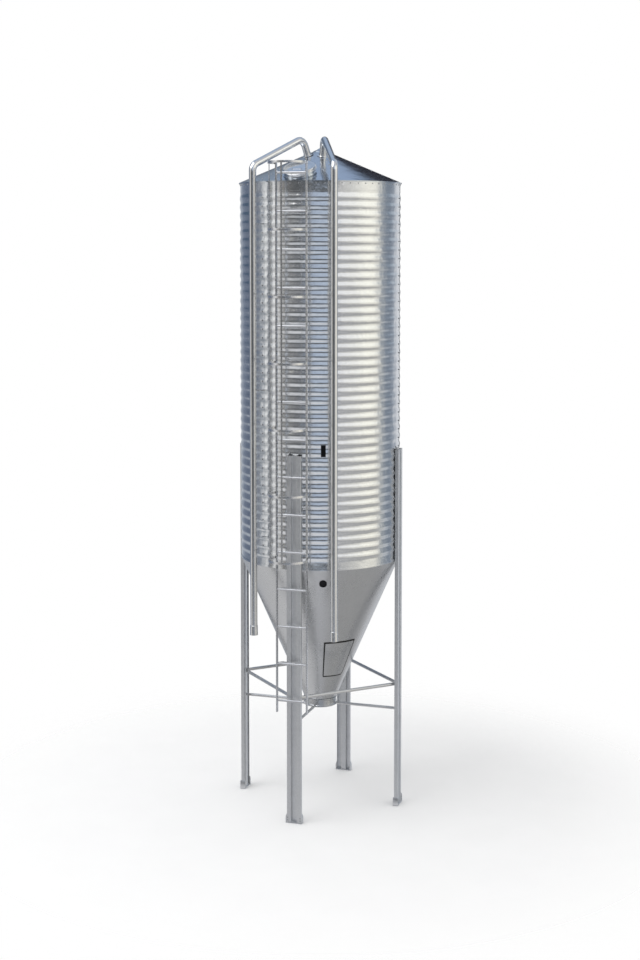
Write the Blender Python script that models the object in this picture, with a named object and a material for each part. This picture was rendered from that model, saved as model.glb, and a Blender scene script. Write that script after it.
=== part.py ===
"""Hopper-bottom grain silo in galvanised steel, on four channel legs, with a caged ladder and two pipes.

Lengths are metres, +Z is up and the ground is z = 0. The ladder is on the -Y side, azimuth 0,
and azimuths turn from there towards +X. The origin is the middle of the footprint, on the ground.
"""
import math

import bmesh
import bpy
from mathutils import Matrix, Vector

# driving dimensions
RADIUS = 1.0                 # outermost crest of the corrugated wall
GAP = 0.0003                 # left between pieces that touch
SHEET = 0.003                # thickness of wall, hopper and roof sheets
FACETS = 24                  # flat faces around the wall
CONE_FACETS = 48             # flat faces around the roof and the hopper
PIPE_SIDES = 12              # flat faces around a pipe
HATCH_SIDES = 24             # flat faces around the roof hatch

WALL_BOTTOM = 3.135
LIP_HEIGHT = 0.054           # plain strip below the first wave
EAVE_BAND = 0.158            # plain strip above the last wave
WAVE_PITCH = 0.1055
WAVE_DEPTH = 0.012
TIERS = 3
WAVES_PER_TIER = 14
SHEETS_PER_TIER = 3
SEAM_AZIMUTH = -30.0         # azimuth at which each tier's first sheet starts

ROOF_RIM_RADIUS = 1.012
ROOF_SLOPE = 0.4217          # rise over run
ROOF_TIP_RADIUS = 0.03       # small hole at the roof's point, under the cap
ROOF_CAP_RADIUS = 0.085
HATCH_RUN = 0.786            # distance of the roof hatch from the axis
HATCH_RADIUS = 0.19
HATCH_STEEL = 0.004
HATCH_COLLAR = (-0.025, 0.075)  # lowest and highest point, square to the roof
LID_REACH = 0.016            # how far the lid stands out beside the collar
LID_HEIGHT = 0.018
LID_SKIRT = 0.03

HOPPER_SLOPE = 2.268         # rise over run
HOPPER_POINT_Z = 0.845       # height at which the cone would close
HOPPER_TOP_RADIUS = 0.998
HOPPER_SEAM = 11.25          # azimuth of the seam beside the ladder
OUTLET_RADIUS = 0.21
OUTLET_WALL_RADIUS = 0.197   # inside of the outlet collar
OUTLET_LIP_RADIUS = 0.175    # inside of the flange under it
OUTLET_LIP_HEIGHT = 0.006
OUTLET_BOTTOM = 1.20
OUTLET_TOP = 1.30
COVER_AZIMUTHS = (22.5, 67.5)
COVER_HEIGHTS = (1.63, 2.12)
COVER_STEEL = 0.004

LEG_TOP = 4.5
LEG_HALF_WIDTH = 0.09
LEG_DEPTH = 0.0457
LEG_STEEL = 0.004
GROOVE = (0.038, 0.030)      # half width of the leg's groove at its face and at its floor
FOOT_HEIGHT = 0.11
FOOT_EAR = 0.013             # thickness of the ears beside the leg
FOOT_WRAP = 0.022            # how far an ear reaches round onto the leg's face
FOOT_BEHIND = 0.012          # how far the foot reaches behind the leg
PLATE = 0.008                # base plate under each leg
TIE_Z = 1.54
TIE_RADIUS = 0.020
TIE_ACROSS = 0.03            # where a tie meets the leg's back, beside its middle
STRUT_Z = 1.222
STRUT_RADIUS = 0.017

LADDER_RUN = 1.11            # distance of the rungs from the axis
STRINGER_SPREAD = 0.186      # each stringer's distance from the ladder's centre line
STRINGER = (0.025, 0.036)    # width across, depth towards the wall
LADDER_BOTTOM = 1.385
LADDER_TOP = 8.0
RUNG_FIRST = 1.53
RUNG_PITCH = 0.453
RUNG_RADIUS = 0.013
RUNGS = 15
LEG_BRACKET_RUNGS = (1, 3, 5)  # rungs that the brackets to the leg stand behind
WALL_BRACKETS = (5.15, 6.51, 7.42)
BRACKET_HALF_HEIGHT = 0.010
BRACKET_STEEL = 0.005
BRACKET_FLAT = 0.05          # half width of a wall bracket's flat back
CAGE_RUN = 1.24              # distance of the cage's centre from the axis
CAGE_RADIUS = 0.235
HOOP_FIRST = 3.28
HOOP_PITCH = 0.784
HOOPS = 7
HOOP_STRIP = (0.040, 0.005)  # height, thickness
HOOP_TAB = 0.015             # how far a hoop's end reaches behind the rungs
STRAP_HALF_WIDTH = 0.016
STRAP_STEEL = 0.0055
STRAP_REACH = 0.01           # how far the straps stand out past the end hoops

PIPE_AZIMUTH = 26.0
PIPE_RUN = 1.163
PIPE_RADIUS = 0.045
PIPE_END = 2.35
PIPE_CLEARANCE = 0.245       # height of the sloping run above the roof, upright
PIPE_CORNER_RUN = 0.31       # distance from the axis at which the run turns down
PIPE_BEND = 0.10
PIPE_UNDER = 0.03            # how far a pipe reaches in below the roof
COUPLING = (2.29, 2.41)      # lowest and highest z of the hose couplings
COUPLING_WALL = 0.006
CLIPS = (3.45, 5.3, 7.3)     # heights of the arms that hold a pipe to the wall
CLIP_HALF = (0.014, 0.008)   # half width, half height

SIGHT_AZIMUTH = 20.0
WINDOW_HEIGHTS = (4.49, 4.63)
WINDOW_HALF_WIDTH = 0.029
WINDOW_DEPTH = 0.012
SIGHT_Z = 2.936
SIGHT_RADIUS = 0.0465
SIGHT_DEPTH = 0.014

# sizes that follow
WALL_TOP = WALL_BOTTOM + LIP_HEIGHT + TIERS * WAVES_PER_TIER * WAVE_PITCH + EAVE_BAND
VALLEY = RADIUS - WAVE_DEPTH
LEG_BACK = RADIUS + GAP
LEG_FACE = LEG_BACK + LEG_DEPTH
HOPPER_TOP = HOPPER_POINT_Z + HOPPER_TOP_RADIUS * HOPPER_SLOPE
ROOF_RIM_Z = WALL_TOP + 0.005
CAGE_FRONT = CAGE_RUN + CAGE_RADIUS + HOOP_STRIP[1] / 2
FOOT_FRONT_RUN = LEG_FACE + 0.010
AXIS_Y = (CAGE_FRONT - FOOT_FRONT_RUN) / 2
ROOF_ANGLE = math.atan(ROOF_SLOPE)
HOPPER_ANGLE = math.atan(HOPPER_SLOPE)


def roof_height(run):
    """Height of the roof's upper surface at a distance from the axis."""
    return ROOF_RIM_Z + (ROOF_RIM_RADIUS - run) * ROOF_SLOPE


def hopper_radius(z):
    """Outer radius of the hopper at a height."""
    return (z - HOPPER_POINT_Z) / HOPPER_SLOPE


def crest_height(wanted):
    """Height of the wall's crest nearest to the wanted one."""
    first = WALL_BOTTOM + LIP_HEIGHT + WAVE_PITCH / 2
    return first + round((wanted - first) / WAVE_PITCH) * WAVE_PITCH


def wall_seat(azimuth, half_width):
    """Run at which a flat back of that half width lies against the wall's facet at an azimuth."""
    step = math.radians(360 / FACETS)
    off_middle = abs(math.radians(azimuth) % step - step / 2)
    facet = RADIUS * math.cos(step / 2) / math.cos(off_middle)
    return facet + half_width * math.tan(off_middle) + GAP


def clear_scene():
    for item in list(bpy.data.objects):
        bpy.data.objects.remove(item, do_unlink=True)


def surface(name, colour, roughness, metallic):
    material = bpy.data.materials.new(name)
    material.use_nodes = True
    shader = material.node_tree.nodes["Principled BSDF"]
    shader.inputs["Base Color"].default_value = (*colour, 1.0)
    shader.inputs["Roughness"].default_value = roughness
    shader.inputs["Metallic"].default_value = metallic
    return material


def put(name, mesh, material, turn=0.0):
    """Object on the silo's axis, turned to an azimuth in degrees."""
    thing = bpy.data.objects.new(name, mesh)
    bpy.context.collection.objects.link(thing)
    if material and not mesh.materials:
        mesh.materials.append(material)
    thing.parent = bpy.data.objects["silo_axis"]
    thing.rotation_euler.z = math.radians(turn)
    return thing


def mesh_from(bm, name, smooth=True):
    bmesh.ops.recalc_face_normals(bm, faces=bm.faces)
    mesh = bpy.data.meshes.new(name)
    bm.to_mesh(mesh)
    bm.free()
    if smooth:
        mesh.shade_smooth()
        mesh.set_sharp_from_angle(angle=math.radians(35))
    return mesh


def turned(bm, outline, sweep=360.0, facets=CONE_FACETS, start=0.0):
    """Spin a closed outline of (run, z) points about the axis, from an azimuth."""
    turn = Matrix.Rotation(math.radians(start), 3, "Z")
    points = [bm.verts.new(turn @ Vector((0, -run, z))) for run, z in outline]
    full = abs(sweep - 360.0) < 1e-6
    if full:
        pairs = zip(points, points[1:] + points[:1])
        geometry = [bm.edges.new(pair) for pair in pairs if any(v.co.xy.length > 0 for v in pair)]
    else:
        geometry = [bm.faces.new(points)]
    bmesh.ops.spin(bm, geom=geometry, cent=(0, 0, 0), axis=(0, 0, 1),
                   angle=math.radians(sweep), steps=facets, use_duplicate=False)
    if full:
        bmesh.ops.remove_doubles(bm, verts=bm.verts, dist=1e-5)


def prism(bm, outline, bottom, top):
    """Upright solid over a plan outline of (across, run) points; run is away from the axis."""
    face = bm.faces.new([bm.verts.new((across, -run, bottom)) for across, run in outline])
    lifted = bmesh.ops.extrude_face_region(bm, geom=[face])
    verts = [item for item in lifted["geom"] if isinstance(item, bmesh.types.BMVert)]
    bmesh.ops.translate(bm, vec=(0, 0, top - bottom), verts=verts)


def strip(bm, route, thickness, bottom, top):
    """Flat bar on edge, bent along a plan route of (across, run) points."""
    left, right = [], []
    for i, point in enumerate(route):
        before = Vector(route[max(i - 1, 0)])
        after = Vector(route[min(i + 1, len(route) - 1)])
        here = Vector(point)
        sides = []
        for a, b in ((before, here), (here, after)):
            if (b - a).length > 0:
                along = (b - a).normalized()
                sides.append(Vector((-along.y, along.x)))
        normal = sum(sides, Vector((0, 0))).normalized()
        reach = thickness / 2 / normal.dot(sides[0])
        left.append(here + normal * reach)
        right.append(here - normal * reach)
    prism(bm, [tuple(p) for p in left + right[::-1]], bottom, top)


def bar(bm, start, end, radius, sides=8, cut_start=None, cut_end=None):
    """Round bar between two points; each end is square, or cut to a plane's normal."""
    start, end = Vector(start), Vector(end)
    along = (end - start).normalized()
    across = along.cross(Vector((0, 0, 1)))
    if across.length < 1e-6:
        across = Vector((1, 0, 0))
    across.normalize()
    up = across.cross(along)
    rings = []
    for centre, cut in ((start, cut_start), (end, cut_end)):
        normal = Vector(cut) if cut else along
        ring = []
        for k in range(sides):
            angle = math.tau * (k + 0.5) / sides
            offset = across * math.cos(angle) * radius + up * math.sin(angle) * radius
            slide = -offset.dot(normal) / along.dot(normal)
            ring.append(bm.verts.new(centre + offset + along * slide))
        rings.append(ring)
    bm.faces.new(rings[0])
    bm.faces.new(rings[1][::-1])
    edges = []
    for ring in rings:
        edges += [bm.edges.get((a, b)) for a, b in zip(ring, ring[1:] + ring[:1])]
    bmesh.ops.bridge_loops(bm, edges=edges)


def pipe_section(centre, forward, radius, sides, bm):
    """Ring of points across a pipe that runs in the plane x = 0."""
    across = Vector((1, 0, 0))
    up = across.cross(forward)
    ring = []
    for k in range(sides):
        angle = math.tau * (k + 0.5) / sides
        ring.append(bm.verts.new(centre + across * math.cos(angle) * radius
                                 + up * math.sin(angle) * radius))
    return ring


def ring_edges(bm, ring):
    return [bm.edges.get((a, b)) or bm.edges.new((a, b)) for a, b in zip(ring, ring[1:] + ring[:1])]


def hollow_pipe(bm, route, outer, inner, sides=PIPE_SIDES):
    """Open-ended tube along a route of (run, z) points."""
    points = [Vector((0, -run, z)) for run, z in route]
    shells = []
    for radius in (outer, inner):
        loops = []
        for i, here in enumerate(points):
            before = points[max(i - 1, 0)]
            after = points[min(i + 1, len(points) - 1)]
            forward = (after - before).normalized()
            loops.append(ring_edges(bm, pipe_section(here, forward, radius, sides, bm)))
        for a, b in zip(loops, loops[1:]):
            bmesh.ops.bridge_loops(bm, edges=a + b)
        shells.append(loops)
    for end in (0, -1):
        bmesh.ops.bridge_loops(bm, edges=shells[0][end] + shells[1][end])


def rounded_route(corners, radius, steps):
    """Route of (run, z) points with each inner corner turned into an arc."""
    route = [Vector(corners[0])]
    for before, corner, after in zip(corners, corners[1:], corners[2:]):
        corner = Vector(corner)
        back = (Vector(before) - corner).normalized()
        ahead = (Vector(after) - corner).normalized()
        half = back.angle(ahead) / 2
        centre = corner + (back + ahead).normalized() * radius / math.sin(half)
        first = corner + back * radius / math.tan(half) - centre
        last = corner + ahead * radius / math.tan(half) - centre
        for k in range(steps + 1):
            route.append(centre + first.slerp(last, k / steps).normalized() * radius)
    route.append(Vector(corners[-1]))
    return [tuple(p) for p in route]


def welded(name, solids, material, turn=0.0):
    """One body from overlapping solids: the first one, joined with all the others."""
    base = put(name, mesh_from(solids[0], name), material, turn)
    others = bmesh.new()
    for bm in solids[1:]:
        scrap = bpy.data.meshes.new("scrap")
        bmesh.ops.recalc_face_normals(bm, faces=bm.faces)
        bm.to_mesh(scrap)
        bm.free()
        others.from_mesh(scrap)
        bpy.data.meshes.remove(scrap)
    added = put(name + "_added", mesh_from(others, name + "_added"), material, turn)
    added.hide_render = True
    added.display_type = "WIRE"
    union = base.modifiers.new("weld", "BOOLEAN")
    union.operation = "UNION"
    union.object = added
    union.solver = "EXACT"
    union.use_self = True
    return base


def cut_away(thing, cutter):
    cutter.hide_render = True
    cutter.display_type = "WIRE"
    difference = thing.modifiers.new("cut", "BOOLEAN")
    difference.operation = "DIFFERENCE"
    difference.object = cutter
    difference.solver = "EXACT"


def tier_outline(tier):
    """Section of one tier of wall: a zigzag of half waves, with a plain strip at the wall's two ends."""
    start = WALL_BOTTOM + LIP_HEIGHT + tier * WAVES_PER_TIER * WAVE_PITCH
    outside = []
    if tier == 0:
        outside.append((VALLEY, WALL_BOTTOM))
    for k in range(2 * WAVES_PER_TIER + 1):
        outside.append((RADIUS if k % 2 else VALLEY, start + k * WAVE_PITCH / 2))
    if tier == TIERS - 1:
        outside.append((VALLEY, WALL_TOP))
    else:
        outside[-1] = (VALLEY, outside[-1][1] - GAP)
    inside = [(run - SHEET, z) for run, z in outside]
    return outside + inside[::-1]


def make_wall(material):
    sweep = 360 / SHEETS_PER_TIER
    facets = FACETS // SHEETS_PER_TIER
    slit = math.degrees(GAP / RADIUS)
    for tier in range(TIERS):
        bm = bmesh.new()
        turned(bm, tier_outline(tier), sweep - slit, facets)
        mesh = mesh_from(bm, f"wall_tier_{tier + 1}")
        for k in range(SHEETS_PER_TIER):
            put(f"wall_sheet_{tier + 1}{'abc'[k]}", mesh, material, SEAM_AZIMUTH + k * sweep)


def make_rings(material):
    """Ring under the wall that carries it and the hopper, and the angle ring under the eaves."""
    bm = bmesh.new()
    top, bottom = WALL_BOTTOM - GAP, HOPPER_TOP + GAP
    turned(bm, [(0.970, bottom), (RADIUS - GAP, bottom), (RADIUS - GAP, top), (0.970, top)],
           facets=FACETS)
    put("base_ring", mesh_from(bm, "base_ring"), material)
    bm = bmesh.new()
    inner, edge, leg = VALLEY + GAP, RADIUS + 0.008, 0.006
    top = roof_height(edge) - SHEET / math.cos(ROOF_ANGLE) - 2 * GAP
    bottom = WALL_TOP - 0.114
    turned(bm, [(inner, bottom), (inner + leg, bottom), (inner + leg, top - leg), (edge, top - leg),
                (edge, top), (inner, top)], facets=FACETS)
    put("eave_ring", mesh_from(bm, "eave_ring"), material)


def make_roof(material):
    """Sloping shell, with holes for the hatch collar and the two pipes, and a cap over its point."""
    drop = SHEET / math.cos(ROOF_ANGLE)
    bm = bmesh.new()
    tip = ROOF_TIP_RADIUS
    turned(bm, [(tip, roof_height(tip)), (ROOF_RIM_RADIUS, roof_height(ROOF_RIM_RADIUS)),
                (ROOF_RIM_RADIUS, roof_height(ROOF_RIM_RADIUS) - drop), (tip, roof_height(tip) - drop)])
    roof = put("roof_cone", mesh_from(bm, "roof_cone"), material)
    cuts = bmesh.new()
    for azimuth, run, radius, sides in ((0, HATCH_RUN, HATCH_RADIUS, HATCH_SIDES),
                                        (PIPE_AZIMUTH, pipe_foot_run(), PIPE_RADIUS, PIPE_SIDES),
                                        (-PIPE_AZIMUTH, pipe_foot_run(), PIPE_RADIUS, PIPE_SIDES)):
        piece = bmesh.new()
        normal = Vector((0, -math.sin(ROOF_ANGLE), math.cos(ROOF_ANGLE)))
        foot = Vector((0, -run, roof_height(run)))
        loops = []
        for side in (-0.1, 0.1):
            ring = pipe_section(foot + normal * side, normal, radius + GAP, sides, piece)
            loops.append(ring_edges(piece, ring))
            piece.faces.new(ring)
        bmesh.ops.bridge_loops(piece, edges=loops[0] + loops[1])
        bmesh.ops.recalc_face_normals(piece, faces=piece.faces)
        bmesh.ops.rotate(piece, verts=piece.verts, cent=(0, 0, 0),
                         matrix=Matrix.Rotation(math.radians(azimuth), 3, "Z"))
        scrap = bpy.data.meshes.new("scrap")
        piece.to_mesh(scrap)
        piece.free()
        cuts.from_mesh(scrap)
        bpy.data.meshes.remove(scrap)
    cut_away(roof, put("roof_holes", mesh_from(cuts, "roof_holes"), None))
    bm = bmesh.new()
    reach, lift, point = ROOF_CAP_RADIUS, 0.004, 0.010
    turned(bm, [(0, roof_height(0) + point), (reach, roof_height(reach) + GAP + lift),
                (reach, roof_height(reach) + GAP), (0, roof_height(0) + GAP)])
    put("roof_cap", mesh_from(bm, "roof_cap"), material)


def make_roof_hatch(material):
    """Round manhole at the ladder's head: a collar through the roof, and its lid."""
    tilt = Matrix.Rotation(ROOF_ANGLE, 3, "X")
    foot = Vector((0, -HATCH_RUN, roof_height(HATCH_RUN)))
    bottom, top = HATCH_COLLAR
    inner, lid_radius = HATCH_RADIUS - HATCH_STEEL, HATCH_RADIUS + LID_REACH
    pieces = {
        "roof_hatch_collar": [(inner, bottom), (HATCH_RADIUS, bottom), (HATCH_RADIUS, top),
                              (inner, top)],
        "roof_hatch_lid": [(0, top + GAP), (HATCH_RADIUS + GAP, top + GAP),
                           (HATCH_RADIUS + GAP, top - LID_SKIRT), (lid_radius, top - LID_SKIRT),
                           (lid_radius, top + LID_HEIGHT * 0.4), (lid_radius * 0.85, top + LID_HEIGHT),
                           (0, top + LID_HEIGHT * 1.4)],
    }
    for name, outline in pieces.items():
        bm = bmesh.new()
        turned(bm, outline, facets=HATCH_SIDES, start=180 / HATCH_SIDES)
        bmesh.ops.transform(bm, matrix=tilt.to_4x4(), verts=bm.verts)
        bmesh.ops.translate(bm, vec=foot, verts=bm.verts)
        put(name, mesh_from(bm, name), material)


def make_hopper(material):
    """Four cone panels, the outlet collar, and the curved cover on the panel beside the ladder."""
    bottom = OUTLET_TOP + GAP
    side = SHEET / math.sin(HOPPER_ANGLE)
    outline = [(hopper_radius(bottom), bottom), (HOPPER_TOP_RADIUS, HOPPER_TOP),
               (HOPPER_TOP_RADIUS - side, HOPPER_TOP), (hopper_radius(bottom) - side, bottom)]
    bm = bmesh.new()
    turned(bm, outline, 90 - math.degrees(GAP / OUTLET_RADIUS), CONE_FACETS // 4)
    panel = mesh_from(bm, "hopper_panel")
    for k, name in enumerate(("hatch", "back_right", "back_left", "front_left")):
        put(f"hopper_panel_{name}", panel, material, HOPPER_SEAM + 90 * k)
    bm = bmesh.new()
    inner, lip, lip_top = OUTLET_WALL_RADIUS, OUTLET_LIP_RADIUS, OUTLET_BOTTOM + OUTLET_LIP_HEIGHT
    turned(bm, [(lip, OUTLET_BOTTOM), (OUTLET_RADIUS, OUTLET_BOTTOM), (OUTLET_RADIUS, OUTLET_TOP),
                (inner, OUTLET_TOP), (inner, lip_top), (lip, lip_top)], facets=FACETS)
    put("outlet_collar", mesh_from(bm, "outlet_collar"), material)
    (first, last), (low, high) = COVER_AZIMUTHS, COVER_HEIGHTS
    lift = hopper_radius(high) * (1 - math.cos(math.pi / CONE_FACETS)) + GAP
    back_low, back_high = hopper_radius(low) + lift, hopper_radius(high) + lift
    bm = bmesh.new()
    turned(bm, [(back_low, low), (back_low + COVER_STEEL, low), (back_high + COVER_STEEL, high),
                (back_high, high)], last - first, 6)
    put("hopper_hatch_cover", mesh_from(bm, "hopper_hatch_cover"), material, first)


def make_legs(material):
    """Four channel legs with a grooved face, standing in flared feet."""
    back, face = LEG_BACK, LEG_FACE
    groove_top, groove_floor = GROOVE
    half = LEG_HALF_WIDTH
    t = LEG_STEEL
    right = [(groove_floor - t, back + t), (groove_top - t, face), (half, face), (half, back),
             (half - t, back), (half - t, face - t), (groove_top, face - t), (groove_floor, back)]
    left = [(-across, run) for across, run in right]
    bm = bmesh.new()
    prism(bm, right + left[::-1], PLATE + GAP, LEG_TOP)
    leg = mesh_from(bm, "leg", smooth=False)
    for k, name in enumerate(("front", "right", "back", "left")):
        put(f"leg_{name}", leg, material, 90 * k)


def make_feet(material):
    """Base plate with an angled ear against each side of the leg."""
    side = LEG_HALF_WIDTH + GAP
    out, inner = side + FOOT_EAR, side - FOOT_WRAP
    front, back_run = LEG_FACE + GAP, LEG_BACK - FOOT_BEHIND
    for k, name in enumerate(("front", "right", "back", "left")):
        base = bmesh.new()
        prism(base, [(-out, back_run), (out, back_run), (out, FOOT_FRONT_RUN),
                     (-out, FOOT_FRONT_RUN)], 0, PLATE)
        ears = []
        for sign in (-1, 1):
            bm = bmesh.new()
            outline = [(side, back_run), (out, back_run), (out, FOOT_FRONT_RUN),
                       (inner, FOOT_FRONT_RUN), (inner, front), (side, front)]
            prism(bm, [(sign * across, run) for across, run in outline], PLATE / 2, FOOT_HEIGHT)
            ears.append(bm)
        welded(f"foot_{name}", [base] + ears, material, 90 * k)


def make_bracing(material):
    """Ties behind the legs from one to the next, and struts from the legs to the outlet collar."""
    bm = bmesh.new()
    bar(bm, (TIE_ACROSS, -RADIUS, TIE_Z), (RADIUS, -TIE_ACROSS, TIE_Z), TIE_RADIUS, 8,
        (0, 1, 0), (1, 0, 0))
    tie = mesh_from(bm, "tie")
    bm = bmesh.new()
    bar(bm, (0, -RADIUS, STRUT_Z), (0, -OUTLET_RADIUS - GAP, STRUT_Z), STRUT_RADIUS)
    strut = mesh_from(bm, "strut")
    corners = ("front_right", "back_right", "back_left", "front_left")
    for k in range(4):
        put(f"tie_{corners[k]}", tie, material, 90 * k)
    for k, name in enumerate(("front", "right", "back", "left")):
        put(f"strut_{name}", strut, material, 90 * k)


def make_ladder(material):
    """Two stringers, the rungs, and the brackets that hold them to the front leg and the wall."""
    width, depth = STRINGER
    near, far = LADDER_RUN - depth / 2, LADDER_RUN + depth / 2
    solids = []
    for middle in (-STRINGER_SPREAD, STRINGER_SPREAD):
        bm = bmesh.new()
        prism(bm, [(middle - width / 2, near), (middle + width / 2, near),
                   (middle + width / 2, far), (middle - width / 2, far)], LADDER_BOTTOM, LADDER_TOP)
        solids.append(bm)
    rungs = [RUNG_FIRST + k * RUNG_PITCH for k in range(RUNGS)]
    for z in rungs:
        bm = bmesh.new()
        bar(bm, (-STRINGER_SPREAD, -LADDER_RUN, z), (STRINGER_SPREAD, -LADDER_RUN, z), RUNG_RADIUS)
        solids.append(bm)
    half = BRACKET_HALF_HEIGHT
    reach, end = STRINGER_SPREAD + width / 4, LADDER_RUN - RUNG_RADIUS / 2
    for k in LEG_BRACKET_RUNGS:
        bm = bmesh.new()
        prism(bm, [(-reach, LEG_FACE + GAP), (reach, LEG_FACE + GAP), (reach, end), (-reach, end)],
              rungs[k] - half, rungs[k] + half)
        solids.append(bm)
    seat, end = RADIUS + GAP + BRACKET_STEEL / 2, near + depth / 4
    for wanted in WALL_BRACKETS:
        bm = bmesh.new()
        z = crest_height(wanted)
        strip(bm, [(-STRINGER_SPREAD, end), (-BRACKET_FLAT, seat), (BRACKET_FLAT, seat),
                   (STRINGER_SPREAD, end)], BRACKET_STEEL, z - half, z + half)
        solids.append(bm)
    welded("ladder", solids, material)


def make_cage(material):
    """Round hoops bolted to the stringers, held in line by three upright straps."""
    height, thickness = HOOP_STRIP
    tab = STRINGER_SPREAD + STRINGER[0] / 2 + GAP + thickness / 2
    start = math.pi - math.asin(tab / CAGE_RADIUS)
    arc = 20
    route = [(-tab, LADDER_RUN - HOOP_TAB)]
    for k in range(arc + 1):
        angle = -start + 2 * start * k / arc
        route.append((CAGE_RADIUS * math.sin(angle), CAGE_RUN + CAGE_RADIUS * math.cos(angle)))
    route.append((tab, LADDER_RUN - HOOP_TAB))
    solids = []
    hoops = [HOOP_FIRST + k * HOOP_PITCH for k in range(HOOPS)]
    for z in hoops:
        bm = bmesh.new()
        strip(bm, route, thickness, z - height / 2, z + height / 2)
        solids.append(bm)
    past = height / 2 + STRAP_REACH
    half, outside = STRAP_HALF_WIDTH, CAGE_RADIUS - thickness * 0.3
    inside = outside - STRAP_STEEL
    for azimuth in (-90, 0, 90):
        bm = bmesh.new()
        turn = Matrix.Rotation(math.radians(azimuth), 2)
        outline = []
        for across, run in ((-half, inside), (half, inside), (half, outside), (-half, outside)):
            point = turn @ Vector((across, run))
            outline.append((point.x, point.y + CAGE_RUN))
        prism(bm, outline, hoops[0] - past, hoops[-1] + past)
        solids.append(bm)
    welded("safety_cage", solids, material)


def pipe_foot_run():
    """Distance from the axis at which a pipe goes through the roof, square to it."""
    lift = PIPE_CLEARANCE * math.cos(ROOF_ANGLE)
    return PIPE_CORNER_RUN - lift * math.sin(ROOF_ANGLE)


def make_pipes(material):
    """Filling pipe and air pipe: up the wall, over the eaves along the roof, and down through it."""
    foot = pipe_foot_run()
    corners = [(PIPE_RUN, PIPE_END), (PIPE_RUN, roof_height(PIPE_RUN) + PIPE_CLEARANCE),
               (PIPE_CORNER_RUN, roof_height(PIPE_CORNER_RUN) + PIPE_CLEARANCE),
               (foot - PIPE_UNDER * math.sin(ROOF_ANGLE),
                roof_height(foot) - PIPE_UNDER * math.cos(ROOF_ANGLE))]
    route = rounded_route(corners, PIPE_BEND, 8)
    arm, tall = CLIP_HALF
    wall_side = wall_seat(PIPE_AZIMUTH, arm)
    pipe_side = PIPE_RUN - (PIPE_RADIUS - SHEET / 2) * math.cos(math.pi / PIPE_SIDES)
    for name, azimuth in (("fill_pipe", -PIPE_AZIMUTH), ("air_pipe", PIPE_AZIMUTH)):
        tube = bmesh.new()
        hollow_pipe(tube, route, PIPE_RADIUS, PIPE_RADIUS - SHEET)
        solids = [tube]
        for wanted in CLIPS:
            z = crest_height(wanted)
            bm = bmesh.new()
            prism(bm, [(-arm, wall_side), (arm, wall_side), (arm, pipe_side), (-arm, pipe_side)],
                  z - tall, z + tall)
            solids.append(bm)
        welded(name, solids, material, azimuth)
        bm = bmesh.new()
        low, high = COUPLING
        inner, outer = PIPE_RADIUS + GAP, PIPE_RADIUS + COUPLING_WALL
        turned(bm, [(inner, low), (outer, low), (outer, high), (inner, high)], facets=PIPE_SIDES,
               start=180 / PIPE_SIDES)
        bmesh.ops.translate(bm, vec=(0, -PIPE_RUN, 0), verts=bm.verts)
        put(name + "_coupling", mesh_from(bm, name + "_coupling"), material, azimuth)


def make_sights(black, glass):
    """Small window on the wall and round glass on the hopper, one above the other."""
    half = WINDOW_HALF_WIDTH
    back = wall_seat(SIGHT_AZIMUTH, half)
    front = back + WINDOW_DEPTH
    bm = bmesh.new()
    prism(bm, [(-half, back), (half, back), (half, front), (-half, front)], *WINDOW_HEIGHTS)
    put("wall_window", mesh_from(bm, "wall_window", smooth=False), black, SIGHT_AZIMUTH)
    tilt = math.pi / 2 - HOPPER_ANGLE
    bm = bmesh.new()
    turned(bm, [(0, GAP), (SIGHT_RADIUS, GAP), (SIGHT_RADIUS, SIGHT_DEPTH), (0, SIGHT_DEPTH)],
           facets=20)
    turn = Matrix.Rotation(math.pi / 2 + tilt, 4, "X")
    bmesh.ops.transform(bm, matrix=turn, verts=bm.verts)
    bmesh.ops.translate(bm, vec=(0, -hopper_radius(SIGHT_Z), SIGHT_Z), verts=bm.verts)
    put("hopper_sight_glass", mesh_from(bm, "hopper_sight_glass"), glass, SIGHT_AZIMUTH)


def main():
    clear_scene()
    axis = bpy.data.objects.new("silo_axis", None)
    bpy.context.collection.objects.link(axis)
    axis.location = (0, AXIS_Y, 0)
    wall = surface("galvanised_wall", (0.66, 0.67, 0.66), 0.32, 0.85)
    roof = surface("galvanised_roof", (0.46, 0.52, 0.58), 0.38, 0.85)
    hopper = surface("galvanised_hopper", (0.45, 0.46, 0.48), 0.45, 0.8)
    frame = surface("galvanised_frame", (0.50, 0.50, 0.50), 0.55, 0.7)
    pipes = surface("galvanised_pipe", (0.60, 0.62, 0.63), 0.35, 0.85)
    black = surface("black_plastic", (0.01, 0.01, 0.012), 0.35, 0.0)
    glass = surface("dark_glass", (0.02, 0.02, 0.025), 0.15, 0.0)
    make_wall(wall)
    make_rings(wall)
    make_roof(roof)
    make_roof_hatch(roof)
    make_hopper(hopper)
    make_legs(frame)
    make_feet(frame)
    make_bracing(frame)
    make_ladder(pipes)
    make_cage(pipes)
    make_pipes(pipes)
    make_sights(black, glass)


main()
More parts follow.
